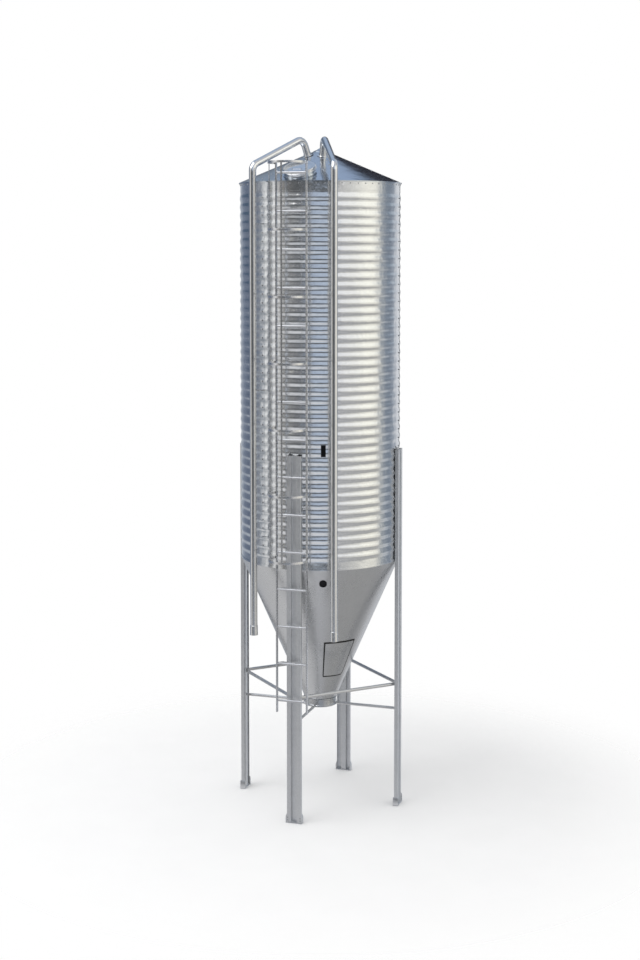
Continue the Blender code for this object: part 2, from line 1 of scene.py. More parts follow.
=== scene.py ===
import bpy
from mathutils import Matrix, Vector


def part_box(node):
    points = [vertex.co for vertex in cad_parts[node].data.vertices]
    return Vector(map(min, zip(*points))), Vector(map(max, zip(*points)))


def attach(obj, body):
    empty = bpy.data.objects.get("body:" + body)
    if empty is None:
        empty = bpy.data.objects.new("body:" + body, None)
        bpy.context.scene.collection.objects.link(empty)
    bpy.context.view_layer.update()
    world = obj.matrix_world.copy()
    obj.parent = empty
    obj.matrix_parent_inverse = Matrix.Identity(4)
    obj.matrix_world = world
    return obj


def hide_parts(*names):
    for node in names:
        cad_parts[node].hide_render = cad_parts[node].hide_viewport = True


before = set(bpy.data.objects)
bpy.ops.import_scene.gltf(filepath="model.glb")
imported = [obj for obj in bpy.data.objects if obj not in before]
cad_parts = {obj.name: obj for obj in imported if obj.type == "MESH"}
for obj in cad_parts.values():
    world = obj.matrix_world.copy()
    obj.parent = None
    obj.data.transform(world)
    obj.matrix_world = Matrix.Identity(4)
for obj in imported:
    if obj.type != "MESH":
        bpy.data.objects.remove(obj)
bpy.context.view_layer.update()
print("CAD solids:", len(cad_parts))

# %% Modules
import math

import bmesh
import bpy
from mathutils import Matrix, Vector

# %% [markdown]
# ## Sizes
# Everything on a silo is set out from its upright middle line, so the first thing to read from
# the frame is where that line stands. Places are then given as a run (metres out from the
# middle line), a height, and an azimuth: 0 degrees is the ladder's side, turning towards +X.
# Reading sizes from the solids, instead of typing them again, keeps the looks and the CAD together.
# The solids' waves are a zigzag 12 mm deep. Here they are smooth and 8 mm deep, and stand 22 mm
# higher, since their light and dark bands then fall as they do in the photograph. LIP is the
# plain strip below the first wave.
# %% Sizes read from the frame
def heights(node):
    """The lowest and the highest point of a CAD solid."""
    low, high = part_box(node)
    return low.z, high.z


roof_low, roof_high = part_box("roof_cone")
AXIS = Vector(((roof_low.x + roof_high.x) / 2, (roof_low.y + roof_high.y) / 2, 0))
ROOF_RADIUS = (roof_high.x - roof_low.x) / 2
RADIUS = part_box("wall_sheet_1a")[1].x - AXIS.x
WALL_BOTTOM = heights("wall_sheet_1a")[0]
WALL_TOP = heights("wall_sheet_3a")[1]
TIER_2, TIER_3 = (heights(f"wall_sheet_{tier}a")[0] for tier in (2, 3))
WAVES = 14
PITCH = (TIER_3 - TIER_2) / WAVES
LIP = TIER_2 - WALL_BOTTOM - WAVES * PITCH
CAD_DEPTH = 0.012
DEPTH = 0.008
VALLEY = RADIUS - DEPTH
WAVE_LIFT = 0.022
print(f"axis {AXIS.x:.3f}, {AXIS.y:.3f}; wall radius {RADIUS:.3f}, wave pitch {PITCH:.4f}")

ROOF_SLOPE = 0.4217
ROOF_ANGLE = math.atan(ROOF_SLOPE)
ROOF_RIM_Z = WALL_TOP + 0.005
HOPPER_SLOPE = 2.268
HOPPER_ANGLE = math.atan(HOPPER_SLOPE)
HOPPER_POINT = 0.845
GAP = 0.0003


def at(run, height, across=0.0):
    """A point on the ladder's side: run out from the axis, across to the right."""
    return Vector((AXIS.x + across, AXIS.y - run, height))


def around(azimuth):
    """The turn about the silo's axis that takes azimuth 0 to this azimuth, in degrees."""
    turn = Matrix.Rotation(math.radians(azimuth), 4, "Z")
    return Matrix.Translation(AXIS) @ turn @ Matrix.Translation(-AXIS)


def roof_height(run):
    return ROOF_RIM_Z + (ROOF_RADIUS - run) * ROOF_SLOPE


def on_slope(run, above=0.0):
    """A corner on the roof's slope, or above it, as (run, height)."""
    return run, roof_height(run) + above


def on_cone(height, off=0.0):
    """A corner on the hopper's face, or off it, as (run, height)."""
    return (height - HOPPER_POINT) / HOPPER_SLOPE + off, height


def crest(number):
    """Height of a wave's crest, counted from the wall's foot."""
    return WALL_BOTTOM + LIP + WAVE_LIFT + (number + 0.5) * PITCH


# %% [markdown]
# ## Working by hand, in code
# Most parts of a silo are sheet and bar of one section, so each piece can start as a chain of
# edges that draws the section. A plane is merged to a single point, and the point is extruded
# from corner to corner. The chain is then spun round the silo's axis, or extruded along,
# and modifiers give it thickness and rounded edges. The helpers here are those few moves.
# %% Helpers for drawing a section
def deselect():
    if bpy.context.object and bpy.context.object.mode != "OBJECT":
        bpy.ops.object.mode_set(mode="OBJECT")
    bpy.ops.object.select_all(action="DESELECT")


def work_on(piece, mode="EDIT"):
    deselect()
    piece.select_set(True)
    bpy.context.view_layer.objects.active = piece
    bpy.ops.object.mode_set(mode=mode)
    if mode == "EDIT":
        bpy.ops.mesh.select_mode(type="VERT")
        bpy.ops.mesh.select_all(action="SELECT")


def named(name):
    piece = bpy.context.active_object
    piece.name = piece.data.name = name
    return piece


def begin(add, name, place, **settings):
    """Adds a primitive with nothing else selected, and opens it with all of it selected."""
    deselect()
    add(location=place, **settings)
    piece = named(name)
    work_on(piece)
    return piece


def block(name, place, size):
    """A cube resized to a block."""
    piece = begin(bpy.ops.mesh.primitive_cube_add, name, place, size=1)
    bpy.ops.transform.resize(value=size)
    return piece


def trace(name, points, closed=False):
    """A chain of edges through points, left in edit mode with all of it selected."""
    piece = begin(bpy.ops.mesh.primitive_plane_add, name, points[0], size=0.01)
    bpy.ops.mesh.merge(type="CENTER")
    for here, ahead in zip(points, points[1:]):
        bpy.ops.mesh.extrude_vertices_move(TRANSFORM_OT_translate={"value": ahead - here})
    bpy.ops.mesh.select_all(action="SELECT")
    if closed:
        bpy.ops.mesh.edge_face_add()
    return piece


def pick(piece, test, kind="VERT"):
    """Selects the points, edges or faces of the edited piece that pass a test, and no others."""
    bpy.ops.mesh.select_all(action="DESELECT")
    bpy.ops.mesh.select_mode(type=kind)
    bm = bmesh.from_edit_mesh(piece.data)
    items = {"VERT": bm.verts, "EDGE": bm.edges, "FACE": bm.faces}[kind]
    for item in items:
        if test(item):
            item.select_set(True)
    bm.select_flush_mode()
    bmesh.update_edit_mesh(piece.data)


def is_top(face):
    return face.normal.z > 0.9


def round_bends(radius, steps=3):
    """Rounds the corners of a traced chain before it is extruded, as a folded sheet is."""
    bpy.ops.mesh.bevel(offset=radius, segments=steps, affect="VERTICES")
    bpy.ops.mesh.select_all(action="SELECT")


def lift(vector):
    bpy.ops.mesh.extrude_region_move(TRANSFORM_OT_translate={"value": vector})


def face_out():
    """Turns the faces of an open sheet one way, so that it thickens to one side."""
    bpy.ops.mesh.select_all(action="SELECT")
    bpy.ops.mesh.normals_make_consistent(inside=False)


def spin_round(sweep=360, steps=96):
    """Spins the selected section about the silo's axis, towards +X, and closes its doubles."""
    bpy.ops.mesh.spin(steps=steps, angle=-math.radians(sweep), center=AXIS, axis=(0, 0, 1))
    bpy.ops.mesh.select_all(action="SELECT")
    bpy.ops.mesh.remove_doubles(threshold=0.00005)
    bpy.ops.mesh.normals_make_consistent(inside=False)


def spun(name, section, steps=96, closed=True):
    """A section of (run, height) corners, spun all the way round the silo's axis."""
    points = [at(*corner) for corner in section]
    piece = trace(name, points + points[:1] if closed else points)
    spin_round(steps=steps)
    return piece


def push_lap(piece, azimuth, distance):
    """Pushes out what lies past an azimuth, where one sheet laps over the next."""
    turn_back = around(-azimuth)
    pick(piece, lambda v: (turn_back @ piece.matrix_world @ v.co).x > AXIS.x)
    bpy.ops.transform.shrink_fatten(value=distance)


def modify(piece, kind, **settings):
    """Adds a modifier, sets it and applies it."""
    work_on(piece, "OBJECT")
    modifier = piece.modifiers.new(kind.title(), kind)
    for key, value in settings.items():
        setattr(modifier, key, value)
    bpy.ops.object.modifier_apply(modifier=modifier.name)


def thicken(piece, thickness, offset=-1):
    modify(piece, "SOLIDIFY", thickness=thickness, offset=offset, use_even_offset=True)


def soften(piece, width, segments=2, angle=40):
    modify(piece, "BEVEL", width=width, segments=segments, limit_method="ANGLE",
           angle_limit=math.radians(angle), use_clamp_overlap=True)


def join(name, pieces):
    deselect()
    for piece in pieces:
        piece.select_set(True)
    bpy.context.view_layer.objects.active = pieces[0]
    bpy.ops.object.join()
    return named(name)


# %% [markdown]
# A silo repeats itself round its axis: four legs, three sheets to a tier, hundreds of bolts. So
# one of each is drawn on the ladder's side, gets its finish there, and is copied by a matrix.
# The copy of a leg or a sheet stands for a solid of its own, and bolts are joined into rows.
# %% Helpers for finishing and copying a piece
def complete(piece, finish, angle=30):
    """Puts the piece's place into its mesh, points its faces outwards and gives it its finish.

    Weighted normals keep a flat face flat in its reflections, right up to its rounded edge.
    """
    work_on(piece, "OBJECT")
    bpy.ops.object.transform_apply(location=True, rotation=True, scale=True)
    work_on(piece)
    bpy.ops.mesh.normals_make_consistent(inside=False)
    bpy.ops.object.mode_set(mode="OBJECT")
    bpy.ops.object.shade_smooth_by_angle(angle=math.radians(angle))
    modify(piece, "WEIGHTED_NORMAL", keep_sharp=True)
    if finish and not piece.data.materials:
        piece.data.materials.append(finish)
    return piece


def moved_copy(piece, name, matrix):
    """A copy with its own mesh, moved in the mesh, so that its object stays at the origin."""
    copy = piece.copy()
    copy.data = piece.data.copy()
    copy.name = copy.data.name = name
    copy.data.transform(matrix)
    bpy.context.collection.objects.link(copy)
    return copy


def discard(piece):
    bpy.data.objects.remove(piece, do_unlink=True)


def hand_over(piece, slot, *nodes):
    """Attaches a finished piece to the silo's body and hides the CAD solids it stands for."""
    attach(piece, "root")
    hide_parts(*nodes)
    triangles = sum(len(face.vertices) - 2 for face in piece.data.polygons)
    print(f"{piece.name}: {triangles} triangles, stands for {list(nodes) or 'nothing'}")


def fit(piece, finish, slot, *nodes, place=None, angle=30):
    """Completes a piece, moves it to its place if it was modelled elsewhere, and hands it over."""
    complete(piece, finish, angle)
    if place is not None:
        piece.data.transform(place)
    hand_over(piece, slot, *nodes)


def repeat(piece, slot, name, node, sides, first=0.0):
    """Hands over a copy for each side, at equal turns round the silo, and drops the first one."""
    for k, side in enumerate(sides):
        copy = moved_copy(piece, name + side, around(first + 360 / len(sides) * k))
        hand_over(copy, slot, node + side)
    discard(piece)


# %% [markdown]
# ## Shader sums in plain Python
# A material is a web of nodes. Written as Python expressions it can be read like a formula, so
# Value wraps one output and turns + - and * into Math nodes, and Finish holds a material and has
# one method that adds any other node. Only sums that change over the surface become nodes.
# %% Value and Finish
class Value:
    """One output of a node. Sums of values add Math nodes."""

    def __init__(self, finish, socket):
        self.finish = finish
        self.socket = socket

    def _math(self, operation, first, second):
        return self.finish.node("ShaderNodeMath", {"operation": operation}, {0: first, 1: second})

    def __add__(self, other):
        return self._math("ADD", self, other)

    def __sub__(self, other):
        return self._math("SUBTRACT", self, other)

    def __rsub__(self, other):
        return self._math("SUBTRACT", other, self)

    def __mul__(self, other):
        return self._math("MULTIPLY", self, other)

    __radd__ = __add__
    __rmul__ = __mul__


class Finish:
    """The node tree of one material, or of the world."""

    def __init__(self, owner):
        owner.use_nodes = True
        self.owner = owner
        self.tree = owner.node_tree
        self.shader = self.tree.nodes.get("Principled BSDF")

    def link(self, socket, value):
        if isinstance(value, Value):
            self.tree.links.new(value.socket, socket)
        else:
            socket.default_value = value

    def feed(self, socket, value):
        """Links or sets a socket of the shader."""
        self.link(self.shader.inputs[socket], value)

    def node(self, kind, settings=None, inputs=None, output=0):
        node = self.tree.nodes.new(kind)
        for key, value in (settings or {}).items():
            if key == "stops":
                self.set_stops(node.color_ramp, value)
            else:
                setattr(node, key, value)
        for key, value in (inputs or {}).items():
            self.link(node.inputs[key], value)
        return Value(self, node.outputs[output])

    def set_stops(self, ramp, stops):
        while len(ramp.elements) < len(stops):
            ramp.elements.new(0.5)
        for element, (place, colour) in zip(ramp.elements, stops):
            element.position = place
            element.color = (*colour, 1)

    def blend(self, factor, first, second):
        """A colour between two others."""
        pair = {key: (*c, 1) if isinstance(c, tuple) else c for key, c in ((6, first), (7, second))}
        return self.node("ShaderNodeMix", {"data_type": "RGBA"}, {0: factor, **pair}, 2)

    def place(self, stretch=(1, 1, 1)):
        """Where a point is on the object, in metres, squeezed or stretched by axis."""
        spot = self.node("ShaderNodeTexCoord", output="Object")
        if stretch == (1, 1, 1):
            return spot
        return self.node("ShaderNodeVectorMath", {"operation": "MULTIPLY"}, {0: spot, 1: stretch})

    def noise(self, scale, detail=3, stretch=(1, 1, 1)):
        return self.node("ShaderNodeTexNoise", {},
                         {"Vector": self.place(stretch), "Scale": scale, "Detail": detail})

    def rise(self, value, low, high):
        """0 up to low, 1 from high on, and a smooth rise between."""
        return self.node("ShaderNodeMapRange", {"interpolation_type": "SMOOTHSTEP"},
                         {"Value": value, "From Min": low, "From Max": high})

    def bump(self, relief, strength, distance, over=None):
        """Relief of a height in metres, laid over another relief if there is one."""
        inputs = {"Strength": strength, "Distance": distance, "Height": relief}
        if over:
            inputs["Normal"] = over
        return self.node("ShaderNodeBump", {}, inputs)


# %% [markdown]
# ## Finishes
# Zinc on steel sets in crystals, called spangle: flat patches a centimetre or so wide, each a
# slightly different grey. Voronoi cells have just that shape. On rolled sheet they are bright
# and close together, and on hot-dipped channels they are dull and broken by a chalky bloom.
# Rain leaves faint upright streaks, which are noise squeezed sideways and stretched upwards.
# Rungs are duller than the ladder's stringers, and darker: painted shade that dims their highlights.
# %% Galvanised steel
CHALK = (0.60, 0.61, 0.61)
CRYSTAL_ROUGH, CLOUD_ROUGH = 0.07, 0.10


def galvanised(name, dark, light, spangle, roughness, streaks=0.25, bloom=0.0, dents=0):
    """Zinc in two greys. Patches and clouds average a half, so roughness is the mean."""
    finish = Finish(bpy.data.materials.new(name))
    cells = finish.node("ShaderNodeTexVoronoi", {"feature": "F1"},
                        {"Vector": finish.place(), "Scale": 1 / spangle}, "Color")
    crystal = finish.node("ShaderNodeSeparateColor", {}, {"Color": cells}, "Red")
    streak = finish.noise(5, 4, (1, 1, 0.12))
    cloud = finish.noise(2.2, 5)
    tone = crystal * (1 - streaks) * 0.6 + streak * streaks + cloud * 0.4 * (1 - streaks)
    colour = finish.blend(tone, dark, light)
    fine = finish.noise(140, 2)
    mean = (CRYSTAL_ROUGH + CLOUD_ROUGH) / 2
    rough = crystal * CRYSTAL_ROUGH + cloud * CLOUD_ROUGH + (roughness - mean)
    if bloom:
        patch = finish.rise(finish.noise(9, 6), 0.48, 0.72)
        colour = finish.blend(patch * bloom, colour, CHALK)
        rough = rough + patch * bloom * 0.25
    finish.feed("Base Color", colour)
    finish.feed("Roughness", rough)
    finish.feed("Metallic", 1.0)
    sheet_dents = finish.bump(finish.noise(7, 2), 1.0, dents) if dents else None
    finish.feed("Normal", finish.bump(crystal * 0.5 + fine * 0.5, 0.15, 0.0006, sheet_dents))
    print("finish", name)
    return finish.owner


WALL_STEEL = galvanised("wall_steel", (0.66, 0.67, 0.68), (0.84, 0.85, 0.85), 0.010, 0.17,
                        streaks=0.35, dents=0.005)
ROOF_STEEL = galvanised("roof_steel", (0.55, 0.58, 0.62), (0.70, 0.73, 0.76), 0.014, 0.17,
                        dents=0.003)
HOPPER_STEEL = galvanised("hopper_steel", (0.49, 0.495, 0.50), (0.62, 0.625, 0.63), 0.016, 0.30,
                          streaks=0.5)
FRAME_STEEL = galvanised("frame_steel", (0.68, 0.685, 0.69), (0.80, 0.805, 0.81), 0.014, 0.36,
                         streaks=0.3, bloom=0.25)
TIE_STEEL = galvanised("tie_steel", (0.60, 0.60, 0.60), (0.74, 0.74, 0.74), 0.014, 0.48,
                       streaks=0.3, bloom=0.35)
PIPE_STEEL = galvanised("pipe_steel", (0.68, 0.68, 0.68), (0.84, 0.84, 0.84), 0.010, 0.17)
LADDER_STEEL = galvanised("ladder_steel", (0.62, 0.62, 0.63), (0.80, 0.80, 0.80), 0.008, 0.26)
# The rungs' darker colour is painted shade, which dims their highlights.
SHADED_RUNG_STEEL = galvanised("shaded_rung_steel", (0.54, 0.54, 0.55), (0.68, 0.68, 0.69), 0.008, 0.44)
BOLT_STEEL = galvanised("bolt_steel", (0.42, 0.43, 0.44), (0.60, 0.61, 0.62), 0.004, 0.34)

# %% [markdown]
# The small dark parts are plastic and glass: a moulded window frame, a gasket of black rubber
# round the hopper's cover, and the sealing washers under the wall's bolts. Black things show
# only their gloss, so a change of roughness and a fine grain matter more here than colour.
# %% Black plastic, rubber and dark glass
def moulded(name, colour, faded, roughness, grain, gloss=0.25):
    """A black or dark moulding. Its cloud averages a half too, so roughness is the mean."""
    finish = Finish(bpy.data.materials.new(name))
    cloud = finish.noise(14, 4)
    finish.feed("Base Color", finish.blend(cloud, colour, faded))
    finish.feed("Roughness", cloud * 0.15 + (roughness - 0.15 / 2))
    finish.feed("Specular IOR Level", gloss)
    finish.feed("Normal", finish.bump(finish.noise(900, 2), grain, 0.0003))
    print("finish", name)
    return finish.owner


PLASTIC = moulded("black_moulding", (0.005, 0.005, 0.006), (0.013, 0.013, 0.015), 0.40, 0.3, 0.15)
RUBBER = moulded("black_rubber", (0.010, 0.010, 0.010), (0.030, 0.029, 0.028), 0.72, 0.5)
WASHER = moulded("washer_rubber", (0.090, 0.090, 0.093), (0.150, 0.150, 0.152), 0.66, 0.5)
PANE = moulded("smoked_pane", (0.004, 0.004, 0.005), (0.010, 0.011, 0.013), 0.12, 0.0, 0.12)

# %% [markdown]
# ## The corrugated wall
# Three tiers of sheets make the tank, three sheets to a tier. Rolling waves into thin sheet makes
# it stiff enough to hold tonnes of grain. The section of one sheet is a cosine curve, traced
# point by point, spun through a third of a turn and a little more, so that each sheet laps over
# the next. Where the lap is, the last columns of faces are pushed out by a little more than the
# sheet's thickness.
# %% One sheet for each tier
SHEET = 0.0012
STEPS_PER_WAVE = 10
SEAM_AZIMUTH = -30.0
SHEET_SWEEP = 120.0
LAP = 5.4
LAP_LIFT = 1.2 * SHEET
COLUMNS = 57


def wave_run(height):
    """Run of the wall at a height: a cosine wave between the plain strips at its two ends."""
    phase = (height - crest(0)) / PITCH
    if not -0.5 <= phase <= 3 * WAVES - 0.5:
        return VALLEY
    return VALLEY + DEPTH * (1 + math.cos(math.tau * phase)) / 2


def sheet_section(tier):
    low = (WALL_BOTTOM, TIER_2, TIER_3)[tier]
    high = (TIER_2 - GAP, TIER_3 - GAP, WALL_TOP)[tier]
    steps = round((high - low) / PITCH * STEPS_PER_WAVE)
    levels = [low + (high - low) * k / steps for k in range(steps + 1)]
    return [at(wave_run(level), level) for level in levels]


for tier in range(3):
    sheet = trace(f"tier_{tier + 1}", sheet_section(tier))
    spin_round(SHEET_SWEEP + LAP, COLUMNS)
    push_lap(sheet, SHEET_SWEEP - LAP * 0.4, LAP_LIFT)
    thicken(sheet, SHEET)
    complete(sheet, WALL_STEEL, 40)
    repeat(sheet, "galvanised_wall", f"corrugated_sheet_{tier + 1}", f"wall_sheet_{tier + 1}",
           "abc", SEAM_AZIMUTH)

# %% [markdown]
# ## Bolts
# Hundreds of bolts hold a silo together, so one is modelled with few faces and copied. It is a
# six-sided head with a raised middle on a round washer. On the wall the washer is dark rubber
# that keeps rain out, and from a distance only that shows, as a dot on each wave of a seam.
# %% One bolt, and a way to set a row of them
LYING = (math.pi / 2, 0, 0)


def make_bolt(name, head, washer, under, seal):
    """A bolt on the axis at height 0 that points to azimuth 0, on a washer of a given finish."""
    height = head * 0.5
    top = begin(bpy.ops.mesh.primitive_cylinder_add, name, at(height / 2 + under, 0),
                vertices=6, radius=head, depth=height, rotation=LYING)
    pick(top, is_top, "FACE")
    bpy.ops.mesh.inset(thickness=head * 0.25, depth=head * 0.12)
    complete(top, BOLT_STEEL, 20)
    ring = begin(bpy.ops.mesh.primitive_cylinder_add, name + "_washer", at(under / 2, 0),
                 vertices=12, radius=washer, depth=under, rotation=LYING)
    pick(ring, is_top, "FACE")
    bpy.ops.transform.resize(value=(0.88, 0.88, 0.88))
    complete(ring, seal, 20)
    return join(name, [top, ring])


def spot(azimuth, run, height, tilt=0.0, across=0.0):
    """Turns and moves a bolt from the axis to its place. Tilt, in degrees, leans it upwards."""
    lean = Matrix.Rotation(-math.radians(tilt), 4, "X")
    move = Matrix.Translation(Vector((across, -run, height)))
    return around(azimuth) @ move @ Matrix.Translation(AXIS) @ lean @ Matrix.Translation(-AXIS)


def bolt_row(name, master, slot, spots):
    row = [moved_copy(master, f"{name}_{k}", place) for k, place in enumerate(spots)]
    hand_over(join(name, row), slot)


SEAM_BOLT = make_bolt("seam_bolt", 0.0080, 0.0110, 0.0025, WASHER)
SMALL_BOLT = make_bolt("small_bolt", 0.0065, 0.0085, 0.0015, BOLT_STEEL)
print("one bolt:", len(SEAM_BOLT.data.polygons), "faces")

# %% [markdown]
# Each upright seam has a bolt on every crest, where two sheets lap. Beside each leg two more
# columns of bolts tie the first tier to the leg, and a pair sits above the leg's head.
# %% Wall bolts
ALL_CRESTS = [crest(k) for k in range(3 * WAVES)]
SEAM_BOLT_AZIMUTH = SEAM_AZIMUTH + 3.6
for k in range(3):
    bolt_row(f"seam_bolts_{k + 1}", SEAM_BOLT, "galvanised_wall",
             [spot(SEAM_BOLT_AZIMUTH + SHEET_SWEEP * k, RADIUS + LAP_LIFT, z) for z in ALL_CRESTS])

SIDES = ("front", "right", "back", "left")
LEG_TOP = heights("leg_front")[1]
BESIDE_LEG, ABOVE_LEG = 6.5, 3.44
beside = [z for z in ALL_CRESTS if z < LEG_TOP - PITCH / 2]
above = min(z for z in ALL_CRESTS if z > LEG_TOP)
for k, side in enumerate(SIDES):
    places = [spot(90 * k + turn, RADIUS, z) for turn in (-BESIDE_LEG, BESIDE_LEG) for z in beside]
    places += [spot(90 * k + turn, RADIUS, above) for turn in (-ABOVE_LEG, ABOVE_LEG)]
    bolt_row(f"wall_bolts_{side}", SEAM_BOLT, "galvanised_wall", places)

# %% [markdown]
# ## Rings at the wall's two ends
# A flat steel ring under the wall carries it and the hopper together. At the top an angle ring
# turns outwards below the roof, and its face is the plain band seen from outside, with a bolt
# every 6 degrees. Both are closed sections spun all the way round.
# %% Base ring and eave ring
BASE_LOW = heights("base_ring")[0]
BASE_IN, BASE_OUT = 0.970, RADIUS - 0.001
ring = spun("bottom_ring", [(BASE_IN, BASE_LOW), (BASE_OUT, BASE_LOW),
                            (BASE_OUT, WALL_BOTTOM - GAP), (BASE_IN, WALL_BOTTOM - GAP)])
soften(ring, 0.002)
fit(ring, WALL_STEEL, "galvanised_wall", "base_ring")

EAVE_LOW, EAVE_HIGH = heights("eave_ring")
EAVE_LEG = 0.006
EAVE_IN = RADIUS - CAD_DEPTH + GAP
EAVE_FACE = EAVE_IN + EAVE_LEG
EAVE_EDGE = RADIUS + 0.008
ring = spun("eave_angle", [(EAVE_IN, EAVE_LOW), (EAVE_FACE, EAVE_LOW),
                           (EAVE_FACE, EAVE_HIGH - EAVE_LEG), (EAVE_EDGE, EAVE_HIGH - EAVE_LEG),
                           (EAVE_EDGE, EAVE_HIGH), (EAVE_IN, EAVE_HIGH)])
soften(ring, 0.0015)
fit(ring, WALL_STEEL, "galvanised_wall", "eave_ring")
bolt_row("eave_bolts", SMALL_BOLT, "galvanised_wall",
         [spot(3 + 6 * k, EAVE_FACE, EAVE_HIGH - 0.028) for k in range(60)])

# %% [markdown]
# ## The roof
# The roof is a low cone of smooth sheet with its edge turned down over the angle ring, so that
# rain drips clear. Its sections meet in flat laps that run up the slope. The cone is one spun
# section, and cylinders cut it where the hatch and the two pipes go through.
# %% Roof cone with its turned-down edge
TIP, MIDDLE = 0.03, 0.5
EDGE_DROP = 0.012
roof = spun("roof_shell", [on_slope(TIP), on_slope(MIDDLE), on_slope(ROOF_RADIUS),
                           on_slope(ROOF_RADIUS, -EDGE_DROP)], 120, closed=False)
thicken(roof, 0.0025)
HATCH_RUN, HATCH_RADIUS = 0.786, 0.19
PIPE_RADIUS = 0.0435
PIPE_AZIMUTH = 26.0
PIPE_CLEARANCE = 0.2447
PIPE_CORNER_RUN = 0.31
PIPE_FOOT_RUN = PIPE_CORNER_RUN - PIPE_CLEARANCE * math.cos(ROOF_ANGLE) * math.sin(ROOF_ANGLE)


def on_roof(run):
    """Moves something modelled upright on the axis to the roof's slope, square to it."""
    foot = Matrix.Translation(at(*on_slope(run)))
    return foot @ Matrix.Rotation(ROOF_ANGLE, 4, "X") @ Matrix.Translation(-AXIS)


def roof_cutter(run, radius, azimuth):
    tool = begin(bpy.ops.mesh.primitive_cylinder_add, "cutter", AXIS,
                 vertices=48, radius=radius, depth=0.2)
    complete(tool, None)
    tool.data.transform(around(azimuth) @ on_roof(run))
    return tool


cutters = join("cutters", [roof_cutter(HATCH_RUN, HATCH_RADIUS, 0),
                           roof_cutter(PIPE_FOOT_RUN, PIPE_RADIUS, PIPE_AZIMUTH),
                           roof_cutter(PIPE_FOOT_RUN, PIPE_RADIUS, -PIPE_AZIMUTH)])
modify(roof, "BOOLEAN", operation="DIFFERENCE", object=cutters, solver="EXACT")
discard(cutters)
fit(roof, ROOF_STEEL, "galvanised_roof", "roof_cone")

# %% [markdown]
# Flat lap strips cover the joints of the roof's six sections, with a small bolt every so often.
# One strip is a bar traced across its section and extruded up the slope, then copied round.
# %% Roof laps and the cap
STRIP_HALF, STRIP_TOP_HALF, STRIP_LIFT = 0.016, 0.016 * 0.7, 0.0015
STRIP_FOOT, STRIP_HEAD = 0.99, 0.07
strip = trace("roof_strip", [at(*on_slope(STRIP_FOOT), -STRIP_HALF),
                             at(*on_slope(STRIP_FOOT, STRIP_LIFT), -STRIP_TOP_HALF),
                             at(*on_slope(STRIP_FOOT, STRIP_LIFT), STRIP_TOP_HALF),
                             at(*on_slope(STRIP_FOOT), STRIP_HALF)], closed=True)
lift(at(*on_slope(STRIP_HEAD)) - at(*on_slope(STRIP_FOOT)))
complete(strip, ROOF_STEEL)
STRIP_AZIMUTHS = range(30, 360, 60)
strips = [moved_copy(strip, f"roof_strip_{k}", around(k)) for k in STRIP_AZIMUTHS]
discard(strip)
hand_over(join("roof_laps", strips), "galvanised_roof")
ROOF_TILT = 90 - math.degrees(ROOF_ANGLE)
bolt_row("roof_bolts", SMALL_BOLT, "galvanised_roof",
         [spot(azimuth, *on_slope(run, STRIP_LIFT * 0.9), ROOF_TILT)
          for azimuth in STRIP_AZIMUTHS for run in (0.94, 0.80, 0.66, 0.52, 0.40)])

CAP_REACH, CAP_LIFT = 0.085, 0.004
cap = spun("roof_peak", [on_slope(0, GAP), on_slope(CAP_REACH, GAP), on_slope(CAP_REACH, CAP_LIFT),
                         on_slope(0.04, CAP_LIFT + 0.001),
                         (0.012, roof_height(0) + CAP_LIFT + 0.001),
                         on_slope(0, CAP_LIFT + 0.006)], 48, closed=False)
fit(cap, ROOF_STEEL, "galvanised_roof", "roof_cap")

# %% [markdown]
# ## The roof hatch
# A round manhole sits at the head of the ladder, for a look inside. It has an upright collar
# with a sealed foot, and a pressed lid that drops over it. Both are sections spun upright on the
# axis, where spinning is easy, and then laid on the slope by one matrix.
# %% Hatch collar and lid
COLLAR_TOP, COLLAR_FOOT = 0.075, -0.025
COLLAR_IN = HATCH_RADIUS - 0.004
LID_RADIUS = HATCH_RADIUS + 0.016
collar = spun("hatch_collar", [(COLLAR_IN, COLLAR_FOOT), (HATCH_RADIUS, COLLAR_FOOT),
                               (HATCH_RADIUS, COLLAR_TOP), (COLLAR_IN, COLLAR_TOP)], 64)
foot = spun("hatch_foot", [(HATCH_RADIUS, 0.001), (HATCH_RADIUS + 0.014, 0.001),
                           (HATCH_RADIUS + 0.014, 0.004), (HATCH_RADIUS + 0.002, 0.005),
                           (HATCH_RADIUS, 0.012)], 64)
fit(join("hatch_collar", [collar, foot]), ROOF_STEEL, "galvanised_roof", "roof_hatch_collar",
    place=on_roof(HATCH_RUN))

LID_IN = HATCH_RADIUS + GAP
LID_PROFILE = [(0, 0.0003), (LID_IN, 0.0003), (LID_IN, -0.030), (LID_RADIUS - 0.003, -0.030),
               (LID_RADIUS, -0.027), (LID_RADIUS, -0.022), (LID_RADIUS - 0.004, -0.019),
               (LID_RADIUS - 0.004, 0.002), (LID_RADIUS - 0.010, 0.010),
               (LID_RADIUS - 0.028, 0.011), (LID_RADIUS - 0.040, 0.006), (0.09, 0.014), (0, 0.018)]
lid = spun("hatch_lid", [(run, COLLAR_TOP + height) for run, height in LID_PROFILE], 64,
           closed=False)
soften(lid, 0.0015, 2, 30)
fit(lid, PIPE_STEEL, "galvanised_roof", "roof_hatch_lid", place=on_roof(HATCH_RUN))

